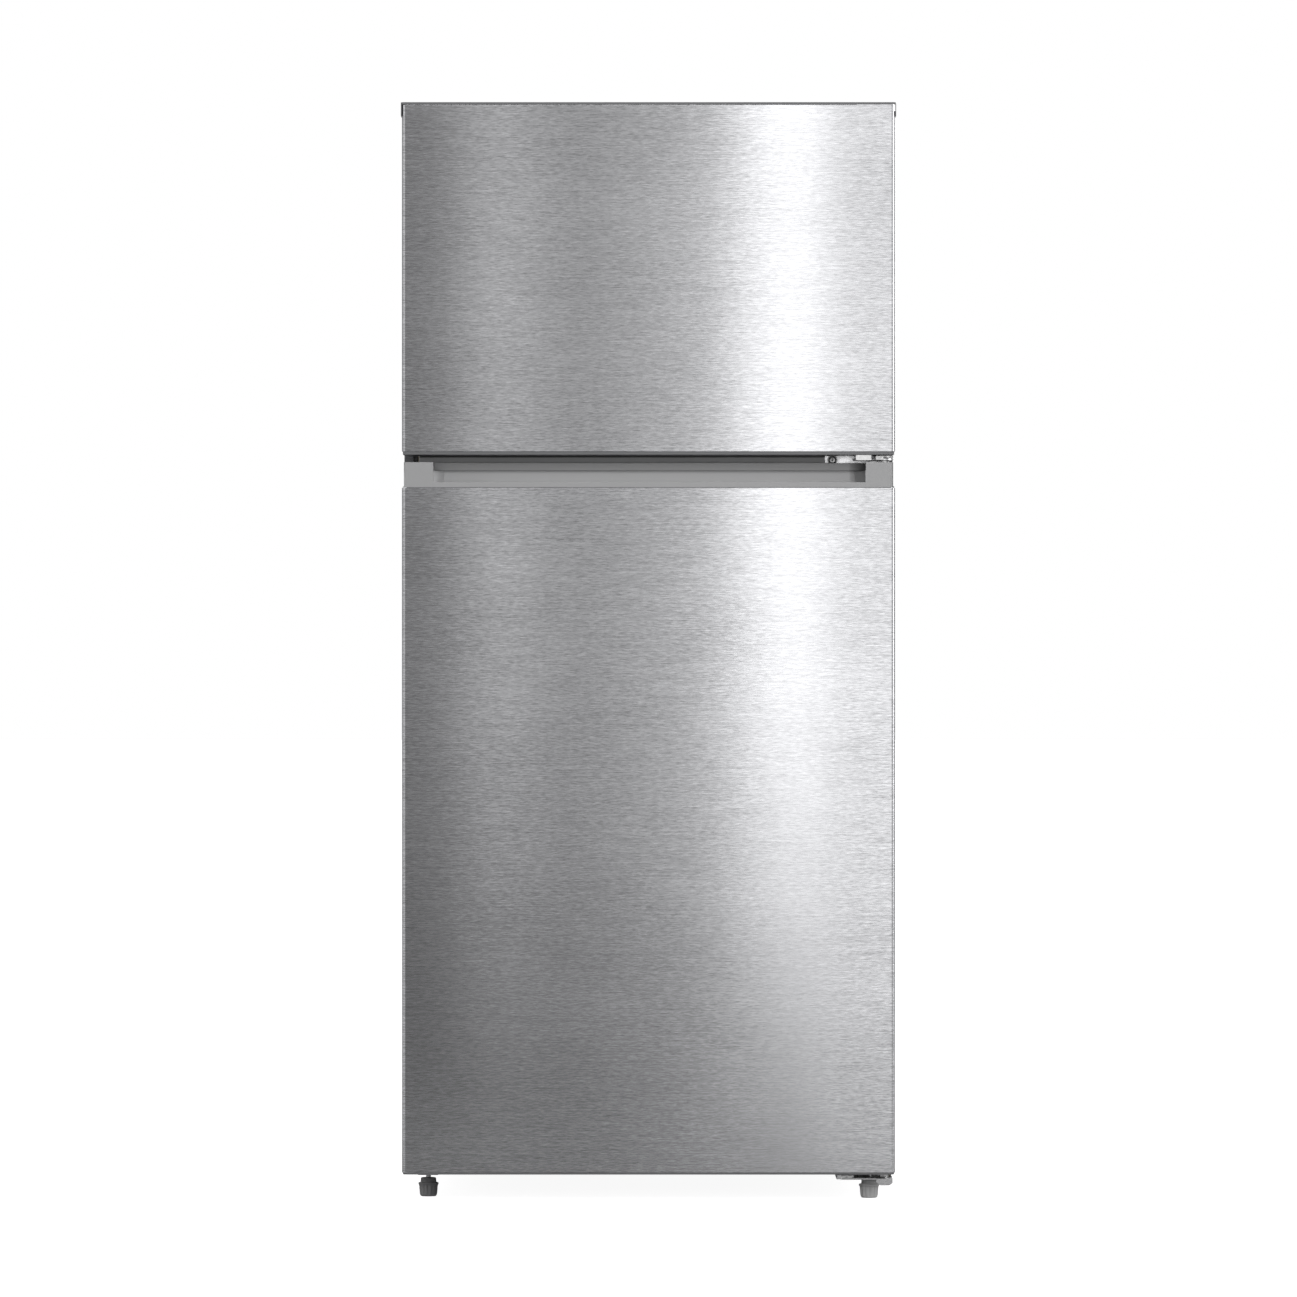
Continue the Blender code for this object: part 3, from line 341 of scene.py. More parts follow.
SLOTS = {
    "door_steel": "steel", "side_paint": "side", "back_sheet": "back", "rail_paint": "rail", "zinc_steel": "zinc", "pin_steel": "pin",
    "trim_grey": "trim", "dial_grey": "dial", "trim_dark": "cap", "liner_white": "white", "clear_plastic": "clearp", "shelf_glass": "glass",
    "lamp_lens": "lamp", "gasket_rubber": "rubber", "insulation_foam": "foam", "black_enamel": "enamel", "black_plastic": "black",
    "coil_aluminium": "alu", "foot_plastic": "foot",
}
NODE_SLOT = {s["node"]: s["material_slot"] for s in frame["record"]["subparts"]}
for name, ob in nodes.items():
    m = M[SLOTS[NODE_SLOT[name]]]
    if not ob.material_slots:
        ob.data.materials.append(m)
    for ms in ob.material_slots:
        ms.material = m


# ================================================================ mesh helpers, in millimetres
def piece(name, bm, mat, body, stands_for=(), sharp=38, normals=True, bevel=0.0, segments=2, bevel_angle=40):
    if normals:
        bmesh.ops.recalc_face_normals(bm, faces=bm.faces)
    me = bpy.data.meshes.new(name)
    for v in bm.verts:
        v.co = v.co * MM
    bm.to_mesh(me)
    bm.free()
    o = bpy.data.objects.new(name, me)
    scene.collection.objects.link(o)
    me.materials.append(M[mat])
    me.shade_smooth()
    me.set_sharp_from_angle(angle=math.radians(sharp))
    if bevel:
        b = o.modifiers.new("edge", "BEVEL")
        b.width = bevel * MM
        b.segments = segments
        b.limit_method = "ANGLE"
        b.angle_limit = math.radians(bevel_angle)
        b.harden_normals = False
    flat_faces(o)
    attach(o, body)
    if stands_for:
        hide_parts(*([stands_for] if isinstance(stands_for, str) else stands_for))
    return o


def flat_faces(o):
    """Large faces keep their own normal, so a narrow rounded edge doesn't bend the shading of a flat panel."""
    w = o.modifiers.new("flat", "WEIGHTED_NORMAL")
    w.weight = 60
    w.keep_sharp = True


def loft(loops, caps=True, closed=False, bm=None):
    bm = bm or bmesh.new()
    rings = [[bm.verts.new(p) for p in loop] for loop in loops]
    n = len(rings[0])
    pairs = list(zip(rings, rings[1:]))
    if closed:
        pairs.append((rings[-1], rings[0]))
    for a, b in pairs:
        for i in range(n):
            j = (i + 1) % n
            bm.faces.new((a[i], a[j], b[j], b[i]))
    if caps and not closed:
        bm.faces.new(rings[0])
        bm.faces.new(rings[-1])
    return bm


def add_box(bm, x0, x1, y0, y1, z0, z1):
    v = [bm.verts.new((x, y, z)) for z in (z0, z1) for x, y in ((x0, y0), (x1, y0), (x1, y1), (x0, y1))]
    for f in ((0, 1, 2, 3), (4, 5, 6, 7), (0, 1, 5, 4), (1, 2, 6, 5), (2, 3, 7, 6), (3, 0, 4, 7)):
        bm.faces.new([v[i] for i in f])
    return bm


def boxes(*sizes):
    bm = bmesh.new()
    for s in sizes:
        add_box(bm, *s)
    return bm


def prism(points, axis, lo, hi, bm=None):
    place = {"X": lambda p, t: (t, p[0], p[1]), "Y": lambda p, t: (p[0], t, p[1]), "Z": lambda p, t: (p[0], p[1], t)}[axis]
    return loft([[place(p, lo) for p in points], [place(p, hi) for p in points]], bm=bm)


def round_rect(a0, a1, b0, b1, r, n=6):
    r = max(min(r, (a1 - a0) / 2 - 1e-3, (b1 - b0) / 2 - 1e-3), 1e-3)
    out = []
    for ca, cb, start in ((a1 - r, b1 - r, 0), (a0 + r, b1 - r, 90), (a0 + r, b0 + r, 180), (a1 - r, b0 + r, 270)):
        for k in range(n + 1):
            t = math.radians(start + 90 * k / n)
            out.append((ca + r * math.cos(t), cb + r * math.sin(t)))
    return out


def turned(profile, centre, axis="Z", n=32, ring=False, bm=None):
    cx, cy, cz = centre
    place = {"Z": lambda p, t: (cx + p[0], cy + p[1], cz + t), "X": lambda p, t: (cx + t, cy + p[0], cz + p[1]), "Y": lambda p, t: (cx + p[0], cy + t, cz + p[1])}[axis]
    loops = [[place((r * math.cos(2 * math.pi * k / n), r * math.sin(2 * math.pi * k / n)), h) for k in range(n)] for r, h in profile]
    return loft(loops, closed=ring, bm=bm)


def frame_ring(profile, x0, x1, z0, z1, r=8, n=6):
    loops = []
    for inset, y in profile:
        loops.append([(x, y, z) for x, z in round_rect(x0 + inset, x1 - inset, z0 + inset, z1 - inset, max(r - inset, 1.0), n)])
    return loft(loops, closed=True)


def arc(cx, cy, r, a0, a1, n):
    return [(cx + r * math.cos(math.radians(a0 + (a1 - a0) * k / n)), cy + r * math.sin(math.radians(a0 + (a1 - a0) * k / n))) for k in range(n + 1)]


def tube(name, points, radius, mat, body, sides=3, stands_for=(), cyclic=False):
    c = bpy.data.curves.new(name, "CURVE")
    c.dimensions = "3D"
    c.bevel_depth = radius * MM
    c.bevel_resolution = sides
    c.use_fill_caps = True
    s = c.splines.new("POLY")
    s.points.add(len(points) - 1)
    for p, co in zip(s.points, points):
        p.co = (co[0] * MM, co[1] * MM, co[2] * MM, 1.0)
    s.use_cyclic_u = cyclic
    s.use_smooth = True
    o = bpy.data.objects.new(name, c)
    scene.collection.objects.link(o)
    c.materials.append(M[mat])
    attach(o, body)
    if stands_for:
        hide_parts(*([stands_for] if isinstance(stands_for, str) else stands_for))
    return o


def soften(name, width, segments=2, angle=35):
    """Rounds the sharp edges of a carried-over CAD node."""
    o = nodes[name]
    w = o.modifiers.new("weld", "WELD")
    w.merge_threshold = 0.00002
    b = o.modifiers.new("edge", "BEVEL")
    b.width = width * MM
    b.segments = segments
    b.limit_method = "ANGLE"
    b.angle_limit = math.radians(angle)
    b.use_clamp_overlap = True
    b.harden_normals = False
    flat_faces(o)
    return o


# ================================================================ doors
HX, HY = 358.0, -340.0


def skin(name, z0, z1, body, notch=None):
    """Folded sheet: flat front, rolled vertical edges, returns at the back and small rolls at top and bottom."""
    hx, r, th = 374.5, 6.0, 0.8
    yf, yb = -377.5, -311.2

    def section(inset, cut_right):
        o = []
        rr = r
        x1, y1 = hx - inset, yf + inset
        left = [(-hx + 14, yb), (-x1, yb)] + [(-x1 + rr - rr * math.cos(math.radians(t)), y1 + rr - rr * math.sin(math.radians(t))) for t in range(0, 91, 9)]
        inner_left = [(-hx + 14, yb - th), (-x1 + th, yb - th)] + [
            (-x1 + rr - (rr - th) * math.cos(math.radians(t)), y1 + rr - (rr - th) * math.sin(math.radians(t))) for t in range(0, 91, 9)]
        if cut_right:
            right = [(316.0, y1), (316.0, y1 + th)]
            return left + right + list(reversed(inner_left))
        right = [(-x, y) for x, y in reversed(left)]
        inner_right = [(-x, y) for x, y in reversed(inner_left)]
        return left + right + list(reversed(inner_right)) + list(reversed(inner_left))

    bm = bmesh.new()
    top = notch if notch else z1
    levels = [(z0, 0.9), (z0 + 0.25, 0.45), (z0 + 0.9, 0.0)] + ([(top, 0.0)] if notch else [(z1 - 0.9, 0.0), (z1 - 0.25, 0.45), (z1, 0.9)])
    loft([[(x, y, z) for x, y in section(d, False)] for z, d in levels], bm=bm)
    if notch:
        loft([[(x, y, z) for x, y in section(d, True)] for z, d in ((notch, 0.0), (z1 - 0.9, 0.0), (z1 - 0.25, 0.45), (z1, 0.9))], bm=bm)
        front = [(316.0, yf)] + [(hx - r + r * math.sin(math.radians(t)), yf + r - r * math.cos(math.radians(t))) for t in range(0, 54, 9)]
        back = [(x - (0 if k == 0 else 0.5), -374.1) for k, (x, _) in enumerate(reversed(front))]
        outline = front + [(back[0][0], -374.1), (316.0, -374.1)]
        loft([[(x, y, z) for x, y in outline] for z in (notch, z1)], bm=bm)
    return piece(name, bm, "steel", body, name, sharp=45)


skin("freezer_door_skin", 1137.4, 1664.5, "freezer_door", notch=1654.7)
skin("fridge_door_skin", 42.5, 1083.0, "fridge_door")
# painted shade: a dark strip along the seam where the sheet is rolled in under the handle moulding stands in for the
# shadow in that gap
piece("fridge_door_seam_shadow_strip", boxes((-367.5, 367.5, -377.3, -376.5, 1082.4, 1083.5)), "cap", "fridge_door")
for name, width in (("freezer_door_top_cap", 0.7), ("freezer_door_bottom_cap", 0.6), ("fridge_door_handle_cap", 0.9), ("fridge_door_bottom_cap", 0.5)):
    soften(name, width, 3)


def formed_door_liner(name, fz0, fz1, dz0, dz1, dx, body, lugs):
    """Vacuum formed: flange, raised dike with full radii, sunk floor, and lugs for the bins."""
    bm = bmesh.new()
    w = 30.0
    prof = [(366.0, fz0, fz1, -309.5, 6), (366.0, fz0, fz1, -308.3, 6)]
    foot = [(dx + 3.0 - 3.0 * math.sin(math.radians(t)), -305.3 - 3.0 * math.cos(math.radians(t))) for t in (0, 30, 60, 90)]
    for x, y in foot:
        d = dx - x
        prof.append((x, dz0 + d, dz1 - d, y, 16))
    for t in range(0, 91, 18):
        x = dx - 2.0 - 8.0 + 8.0 * math.cos(math.radians(t))
        y = -270.0 + 8.0 * math.sin(math.radians(t))
        prof.append((x, dz0 + dx - x, dz1 - dx + x, y, 16 - 0.4 * (dx - x)))
    for t in range(90, -1, -18):
        x = dx - w + 2.0 + 8.0 - 8.0 * math.cos(math.radians(t))
        y = -270.0 + 8.0 * math.sin(math.radians(t))
        prof.append((x, dz0 + dx - x, dz1 - dx + x, y, 12))
    for t in (0, 30, 60, 90):
        x = dx - w - 5.0 + 5.0 * math.cos(math.radians(t))
        y = -294.0 - 5.0 * math.sin(math.radians(t))
        prof.append((x, dz0 + dx - x, dz1 - dx + x, y, 12))
    rings = [[(px, y, pz) for px, pz in round_rect(-x, x, a, b, max(r, 2.0), 6)] for x, a, b, y, r in prof]
    loft(rings, bm=bm)
    for z0, z1 in lugs:
        for s in (-1, 1):
            a, b = sorted((s * (dx - w + 1.5), s * (dx - w - 4.6)))
            prism(round_rect(-297, -232, z0 + 12, z1 - 14, 8, 5), "X", a, b, bm=bm)
    o = piece(name, bm, "white", body, name, sharp=50)
    return o


BINS = {
    "freezer_bin_lower": (1212, 1290, 268, -216, "freezer_door"), "freezer_bin_upper": (1430, 1508, 268, -216, "freezer_door"),
    "fridge_bin_lower": (146, 262, 278, -206, "fridge_door"), "fridge_bin_middle": (436, 520, 278, -206, "fridge_door"),
    "fridge_bin_upper": (726, 810, 278, -206, "fridge_door"),
}
formed_door_liner("freezer_door_liner", 1142, 1652, 1170, 1602, 304, "freezer_door", [BINS[n][:2] for n in BINS if n.startswith("freezer")])
formed_door_liner("fridge_door_liner", 56, 1112, 108, 1080, 314, "fridge_door", [BINS[n][:2] for n in BINS if n.startswith("fridge")])


def basket(name, z0, z1, hx, y_in, body):
    """Clear moulded bin: drafted walls, radiused floor, beaded rim and a raised white front rail."""
    y0 = -297.8
    bm = bmesh.new()
    n = 6

    def ring(dx, dy0, dy1, z, r):
        return [(x, y, z) for x, y in round_rect(-hx + dx, hx - dx, y0 + dy0, y_in - dy1, r, n)]

    loops = [ring(9, 5, 9, z0, 14), ring(6, 2.5, 5.5, z0 + 1.2, 18), ring(4.4, 1.4, 3.8, z0 + 5, 20), ring(2.2, 0.9, 2.2, z1 - 8, 22), ring(1.95, 0.4, 1.95, z1 - 2.0, 22),
             ring(2.4, 0.8, 2.4, z1 - 1.5, 22), ring(3.6, 2.4, 3.6, z1 - 1.5, 20), ring(4.1, 2.9, 4.1, z1 - 2.2, 20), ring(4.4, 3.1, 4.4, z1 - 6, 20), ring(6.8, 3.8, 6.2, z0 + 8, 17), ring(8.2, 5.0, 7.6, z0 + 3.6, 15),
             ring(11, 7.2, 11, z0 + 2.2, 12)]
    loft(loops, bm=bm)
    for x in [k * (2 * hx - 60) / 8 - (hx - 30) for k in range(9)]:
        prism(round_rect(x - 1.2, x + 1.2, z0 + 8, z0 + 26, 1.1, 2), "Y", y_in - 6.2, y_in - 4.6, bm=bm)
    o = piece(name, bm, "clearp", body, name, sharp=40)

    def line(d):
        q = [(x, y) for x, y in round_rect(-hx + d, hx - d, y0 + 40, y_in - d, max(23.9 - d, 4.0), 8) if y > y0 + 60]
        return sorted(q, key=lambda p: math.atan2(p[1] - (y0 + 40), p[0]))

    # the white rail wraps over the wall's top edge
    wrap = [(0.2, z1 - 28), (0.2, z1 - 0.9), (0.5, z1 - 0.25), (1.1, z1), (4.6, z1), (5.3, z1 - 0.25), (5.6, z1 - 0.9), (5.6, z1 - 11), (4.75, z1 - 11), (4.55, z1 - 1.2), (1.7, z1 - 1.2), (1.7, z1 - 28)]
    paths = [[(x, y, z) for x, y in line(d)] for d, z in wrap]
    band = loft([list(q) for q in zip(*paths)])
    piece(name + "_rail", band, "white2", body, sharp=40, bevel=0.4)
    return o


for name, (z0, z1, hx, y_in, body) in BINS.items():
    basket(name, z0, z1, hx, y_in, body)


def seal(name, z0, z1, body):
    """Magnetic gasket: rooted foot, bellows folds and a soft face."""
    prof = [(15.5, -309.2), (1.0, -309.2), (0.2, -308.0), (1.4, -306.6), (3.2, -305.8), (1.2, -304.9), (0.2, -303.8), (0.0, -300.0), (0.6, -298.9), (1.6, -298.35), (9.0, -298.3),
            (16.4, -298.35), (17.6, -299.0), (18.0, -300.6), (17.2, -302.6), (14.6, -303.8), (17.4, -305.2), (17.8, -307.0), (16.8, -308.8)]
    o = piece(name, frame_ring(prof, -351, 351, z0, z1, 5, 5), "rubber", body, name, sharp=60)
    return o


seal("freezer_gasket", 1136.5, 1640.0, "freezer_door")
seal("fridge_gasket", 66.0, 1114.0, "fridge_door")


# painted shade: black blocks in the slots at both ends of the mullion stand in for the shadow in the slots and hide the
# foam
for s in (-1, 1):
    a, b = sorted((s * 351.4, s * 358.2))
    piece(f"mullion_slot_shade_{'left' if s < 0 else 'right'}", boxes((a, b, -296.8, -291.0, 1099.5, 1151.5)), "black", "cabinet")


# ================================================================ hinges
def screw(name, at, r, out, body, washer=None):
    """Washer-head cross-recess screw whose head faces -Y (out = 'Y') or up (out = 'Z')."""
    x, y, z = at
    bm = bmesh.new()
    w = washer or r * 1.45
    prof = [(w * 0.98, 0.0), (w, 0.3), (w, 0.9), (w * 0.94, 1.15), (r * 1.02, 1.25), (r * 0.98, 1.7), (r * 0.86, 2.45), (r * 0.62, 3.0), (r * 0.30, 3.2), (0.05, 3.22)]
    if out == "Y":
        turned([(q, -h) for q, h in prof], (x, y, z), "Y", 32, bm=bm)
    else:
        turned(prof, (x, y, z), "Z", 32, bm=bm)
    o = piece(name, bm, "pin", body, sharp=30)
    # painted shade: the cross recess is a black cross standing on the head, in place of the recess and its shadow
    rec = bmesh.new()
    a, b = r * 0.62, r * 0.17
    pts = [(-b, a), (b, a), (b, b), (a, b), (a, -b), (b, -b), (b, -a), (-b, -a), (-b, -b), (-a, -b), (-a, b), (-b, b)]
    if out == "Y":
        prism([(x + p, z + q) for p, q in pts], "Y", y - 3.26, y - 2.4, bm=rec)
    else:
        prism([(x + p, y + q) for p, q in pts], "Z", z + 2.4, z + 3.26, bm=rec)
    piece(name + "_cross_recess_shade", rec, "black", body, sharp=30)
    return o


M["cut"] = plated("bright_plate", (0.74, 0.74, 0.74), 0.34, spangle=260.0, contrast=0.05)
# the handle cap takes the moulding with painted light and painted shade in its pocket
nodes["fridge_door_handle_cap"].material_slots[0].material = M["handle"]
soften("middle_hinge_bracket", 0.5, 2)
# painted shade: the cross recess and the groove between head and washer of the middle hinge screw are black pieces
# standing in for their shadow
s = piece("middle_hinge_screw_head", turned([(4.3, -301.9), (4.4, -302.2), (4.4, -303.2), (4.1, -303.7), (3.6, -303.9), (0.05, -303.95)], (281.0, 0, 1126.4), "Y", 40), "cut", "cabinet")
p, q = 2.5, 0.6
piece("middle_hinge_screw_cross_recess_shade", prism([(281 + a, 1126.4 + b) for a, b in ((-q, p), (q, p), (q, q), (p, q), (p, -q), (q, -q), (q, -p), (-q, -p), (-q, -q), (-p, -q), (-p, q), (-q, q))], "Y", -304.0, -303.2),
      "black", "cabinet")
piece("middle_hinge_screw_washer", turned([(7.6, -301.6), (7.8, -301.8), (7.8, -302.1), (7.0, -302.3), (6.5, -302.3), (6.5, -301.6)], (281.0, 0, 1126.4), "Y", 40, ring=True), "cut", "cabinet")
piece("middle_hinge_screw_groove_shade", turned([(4.4, -301.6), (6.5, -301.6), (6.5, -302.0), (4.4, -302.0)], (281.0, 0, 1126.4), "Y", 40, ring=True), "black", "cabinet")
piece("mullion_shadow_strip", boxes((-350.0, 350.0, -298.25, -298.02, 1130.4, 1136.2)), "black", "cabinet")
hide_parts("middle_hinge_screw")
# the folded tongue that carries the pins, with its raised blocks and the bright cam beside it
piece("middle_hinge_tongue", prism([(314.6, 1124.9), (337.8, 1124.9), (338.6, 1126), (338.6, 1132.0), (337.6, 1132.6), (315.4, 1132.6), (314.4, 1131.6), (314.4, 1125.6)], "Y", -314.0, -302.0),
      "cut", "cabinet", bevel=0.6)
piece("middle_hinge_fold", prism([(345.3, 1125.2), (357.4, 1125.2), (357.4, 1131.4), (356.6, 1132.2), (346.0, 1132.2), (345.3, 1131.4)], "Y", -354.5, -350.0),
      "cut", "cabinet", bevel=0.5)
soften("middle_hinge_pin", 0.3, 2)
soften("freezer_door_stop", 0.6, 2)
nodes["freezer_door_stop"].material_slots[0].material = M["cut"]
soften("top_hinge_bracket", 0.5, 2)
soften("top_hinge_cover", 1.2, 3)
soften("bottom_hinge_bracket", 0.5, 2)
M["tab"] = plated("satin_tab_plate", (0.88, 0.88, 0.88), 0.5, spangle=260.0, contrast=0.04)
M["tab"].node_tree.nodes["Principled BSDF"].inputs["Metallic"].default_value = 0.45
soften("bottom_hinge_pin", 0.3, 2)
for k, (x, y) in enumerate(((312.0, -228.0), (352.0, -228.0), (330.0, -262.0))):
    screw(f"top_hinge_bolt_{k}", (x, y, 1659.3), 4.2, "Z", "cabinet", washer=6.2)
for k, x in enumerate((296.0, 306.0)):
    piece(f"bottom_hinge_tab_{k}", prism(round_rect(x - 3.6, x + 3.6, 31.8, 37.4, 1.2, 3), "Y", -359.8, -358.9), "tab", "cabinet", bevel=0.3)


# ================================================================ feet and rollers
def foot(name, x, y, body, stem_top, ribs=12, mat="foot"):
    """Screw foot: turned body with moulded grip flats, a flange and a coned neck."""
    bm = bmesh.new()
    rows = ((10.8, 0.0, 0), (12.0, 0.7, 0), (12.8, 2.0, 1), (13.6, 4.5, 1), (14.3, 14.0, 1), (14.6, 16.8, 1), (14.7, 17.4, 0), (15.3, 18.0, 0), (15.4, 19.0, 0), (15.4, 20.2, 0), (15.0, 21.0, 0),
            (12.6, 21.4, 0), (12.0, 22.0, 0), (11.7, 27.4, 0), (11.2, 28.3, 0), (10.2, 28.6, 0), (4.2, 28.6, 0), (4.0, 29.2, 0))
    loops = []
    n = 96
    for r, z, flat in rows:
        ring = []
        for k in range(n):
            a = 2 * math.pi * k / n
            dip = flat * 1.1 * (0.5 + 0.5 * math.cos(ribs * a)) ** 3
            ring.append((x + (r - dip) * math.cos(a), y + (r - dip) * math.sin(a), z))
        loops.append(ring)
    loft(loops, bm=bm)
    z = 29.0
    stem = []
    while z < stem_top - 0.4:
        stem += [(3.55, z), (4.0, z + 0.35), (4.0, z + 0.5), (3.55, z + 0.85)]
        z += 1.25
    piece(name + "_grip", bm, mat, body, name, sharp=34)
    piece(name + "_thread", turned([(3.55, 28.7)] + stem + [(3.4, stem_top)], (x, y, 0), "Z", 28), "zinc", body, sharp=50)


M["foot_grey"] = moulded("foot_nylon_grey", (0.50, 0.50, 0.50), 0.5, relief=0.3, contrast=0.08)
foot("foot_left", -337, -268, "foot_left_body", 37.5)
foot("foot_right", 337, -300, "foot_right_body", 36.8, mat="foot_grey")
for side, label in ((-1, "left"), (1, "right")):
    xc = side * 330.0
    prof = [(4.5, -10), (8.6, -10), (9.0, -9.6), (9.0, -8.5), (16.6, -8.5), (17.4, -8.3), (18.6, -8.1), (19.5, -7.4), (20.0, -6.4), (20.0, -1.2), (19.7, -0.9), (19.7, 0.9), (20.0, 1.2),
            (20.0, 6.4), (19.5, 7.4), (18.6, 8.1), (17.4, 8.3), (16.6, 8.5), (9.0, 8.5), (9.0, 9.6), (8.6, 10), (4.5, 10)]
    bm = turned(prof, (xc, 330, 20), "X", 56, ring=True)
    for s in (-1, 1):
        for k in range(6):
            a = 2 * math.pi * k / 6
            rib = bmesh.new()
            add_box(rib, -0.8, 0.8, 8.8, 16.8, 0, 0.9)
            rib.transform(Matrix.Translation((xc + s * 8.4, 330, 20)) @ Matrix.Rotation(a, 4, "X") @ Matrix.Rotation(math.radians(90 * s), 4, "Y"))
            me = bpy.data.meshes.new("rib")
            rib.to_mesh(me)
            rib.free()
            bm.from_mesh(me)
            bpy.data.meshes.remove(me)
    piece(f"roller_{label}_wheel", bm, "foot", f"roller_{label}_body", f"roller_{label}", sharp=34)


# ================================================================ cabinet
for name, width in (("cabinet_shell", 0.6), ("mullion_rail", 0.4), ("back_panel", 0.4), ("base_pan", 0.4), ("compressor_tray", 0.4), ("machine_cover", 0.4), ("cord_gland", 0.4),
                    ("condenser_fan_shroud", 1.0), ("drain_pan", 0.6), ("evaporator_cover", 0.6), ("evaporator_fan_motor", 0.8), ("air_duct", 1.6), ("control_box", 2.2),
                    ("lamp_lens", 0.8), ("fridge_dial", 0.6), ("freezer_dial", 0.6), ("crisper_frame", 1.2)):
    soften(name, width, 3 if width > 0.9 else 2)


# ================================================================ compartments
def cavity(name, loops, flange, ribs, hx, mouth):
    """Vacuum formed compartment: (y, x, z0, z1, radius) rings from the mouth to the back wall, plus side ledges."""
    bm = bmesh.new()
    fx, fz0, fz1 = flange
    rows = [(-298.0, fx, fz0, fz1, 1.0), (-298.0, hx + 4.5, loops[0][2] - 4.5, loops[0][3] + 4.5, mouth + 4.5)]
    for t in (30, 60):
        d = 4.5 * (1 - math.sin(math.radians(t)))
        rows.append((-298.0 + 4.5 * (1 - math.cos(math.radians(t))), hx + d, loops[0][2] - d, loops[0][3] + d, mouth + d))
    rows += loops
    rings = [[bm.verts.new((px, y, pz)) for px, pz in round_rect(-x, x, a, b, r, 8)] for y, x, a, b, r in rows]
    for a, b in zip(rings, rings[1:]):
        for i in range(len(a)):
            j = (i + 1) % len(a)
            bm.faces.new((a[i], a[j], b[j], b[i]))
    back = bm.faces.new(rings[-1])
    bmesh.ops.recalc_face_normals(bm, faces=bm.faces)
    bm.normal_update()
    if back.normal.y > 0:
        bmesh.ops.reverse_faces(bm, faces=bm.faces)
    o = piece(name + "_shell", bm, "white", "cabinet", name, sharp=60, normals=False)
    sol = o.modifiers.new("sheet", "SOLIDIFY")
    sol.thickness = 1.0 * MM
    sol.offset = -1.0
    bm = bmesh.new()
    for z, y0, y1, depth in ribs:
        prof = [(0.8, -9), (0.0, -9), (-depth + 2.4, -7.2), (-depth + 0.6, -6.2), (-depth, -4.6), (-depth, -1.6), (-depth + 0.5, -0.5), (-depth + 1.8, 0.0), (0.8, 0.0)]
        for s in (-1, 1):
            loft([[(s * (hx + p), y + (2.5 if k in (0, 3) else 0) * (1 if k < 2 else -1) * 0, z + q * (0.6 if k in (0, 3) else 1)) if False else (s * (hx + p * (0.35 if k in (0, 3) and p < 0 else 1)), y, z + q) for p, q in prof]
                  for k, y in enumerate((y0, y0 + 5, y1 - 5, y1))], bm=bm)
    piece(name + "_ledges", bm, "white", "cabinet", sharp=50)
    return o


def fillet_rows(hx, z0, z1, yb, r, corner):
    rows = []
    for t in range(0, 91, 15):
        d = r * (1 - math.cos(math.radians(t)))
        rows.append((yb - r + r * math.sin(math.radians(t)), hx - d, z0 + d, z1 - d, corner))
    return rows


cavity("freezer_liner", [(-293.5, 314, 1158, 1614, 18)] + fillet_rows(314, 1158, 1614, 300, 14, 18), (358.6, 1152.4, 1641.6), [(1388.0, -168, 215, 10)], 314, 18)
step = [(-293.5, 326, 95, 1093, 20), (106.0, 326, 95, 1093, 20), (113.0, 326.0, 97, 1093, 20), (118.0, 326.0, 102, 1093, 20), (119.8, 326.0, 109, 1093, 20), (120.0, 326.0, 286, 1093, 20),
        (122.0, 326.0, 293, 1093, 20), (127.0, 326.0, 298, 1093, 20), (134.0, 326.0, 300, 1093, 20)]
cavity("fridge_liner", step + fillet_rows(326, 300, 1093, 312, 14, 20), (358.6, 60.0, 1098.6),
       [(320.0, -150, 280, 9), (562.0, -168, 280, 9), (802.0, -168, 280, 9), (288.0, -170, 100, 17)], 326, 20)


def glass_shelf(name, z, hx, y0, y1):
    """Tempered pane with ground edges, a moulded front trim and a rear spill stop."""
    pane = bmesh.new()
    loft([[(x, y, h) for x, y in round_rect(-hx + 1.5 + d, hx - 1.5 - d, y0 + 4 + d, y1 - 4 - d, 8, 5)] for d, h in ((0.6, z + 1.4), (0, z + 2.0), (0, z + 5.0), (0.6, z + 5.6))], bm=pane)
    o = piece(name + "_pane", pane, "glass", "cabinet", name, sharp=40)
    front = [(y0 + 12.0, z + 0.8), (y0 + 12.0, z + 1.3), (y0 + 4.4, z + 1.3), (y0 + 4.4, z + 5.8), (y0 + 12, z + 5.8), (y0 + 11.4, z + 6.4), (y0 + 6, z + 8.4), (y0 + 3, z + 8.8), (y0 + 1.0, z + 7.6), (y0, z + 5.0),
             (y0, z - 9.0), (y0 + 0.8, z - 11.2), (y0 + 2.6, z - 12), (y0 + 8.0, z - 12), (y0 + 9.6, z - 11), (y0 + 10.0, z - 9.4), (y0 + 9.2, z - 9.0), (y0 + 3.0, z - 9.2), (y0 + 2.6, z - 3.0), (y0 + 4.0, z + 0.2)]
    piece(name + "_front_trim", prism(front, "X", -hx, hx), "white2", "cabinet", sharp=35)
    rear = [(y1 - 10, z + 0.6), (y1 - 0.6, z + 0.2), (y1, z + 1.0), (y1, z + 13.0), (y1 - 0.8, z + 14.0), (y1 - 2.2, z + 14.0), (y1 - 3.0, z + 13.0), (y1 - 3.2, z + 6.4), (y1 - 10, z + 6.2),
            (y1 - 10, z + 5.8), (y1 - 4.4, z + 5.6), (y1 - 4.4, z + 1.3), (y1 - 10, z + 1.3)]
    piece(name + "_rear_trim", prism(rear, "X", -hx + 1, hx - 1), "white2", "cabinet", sharp=35)
    return o


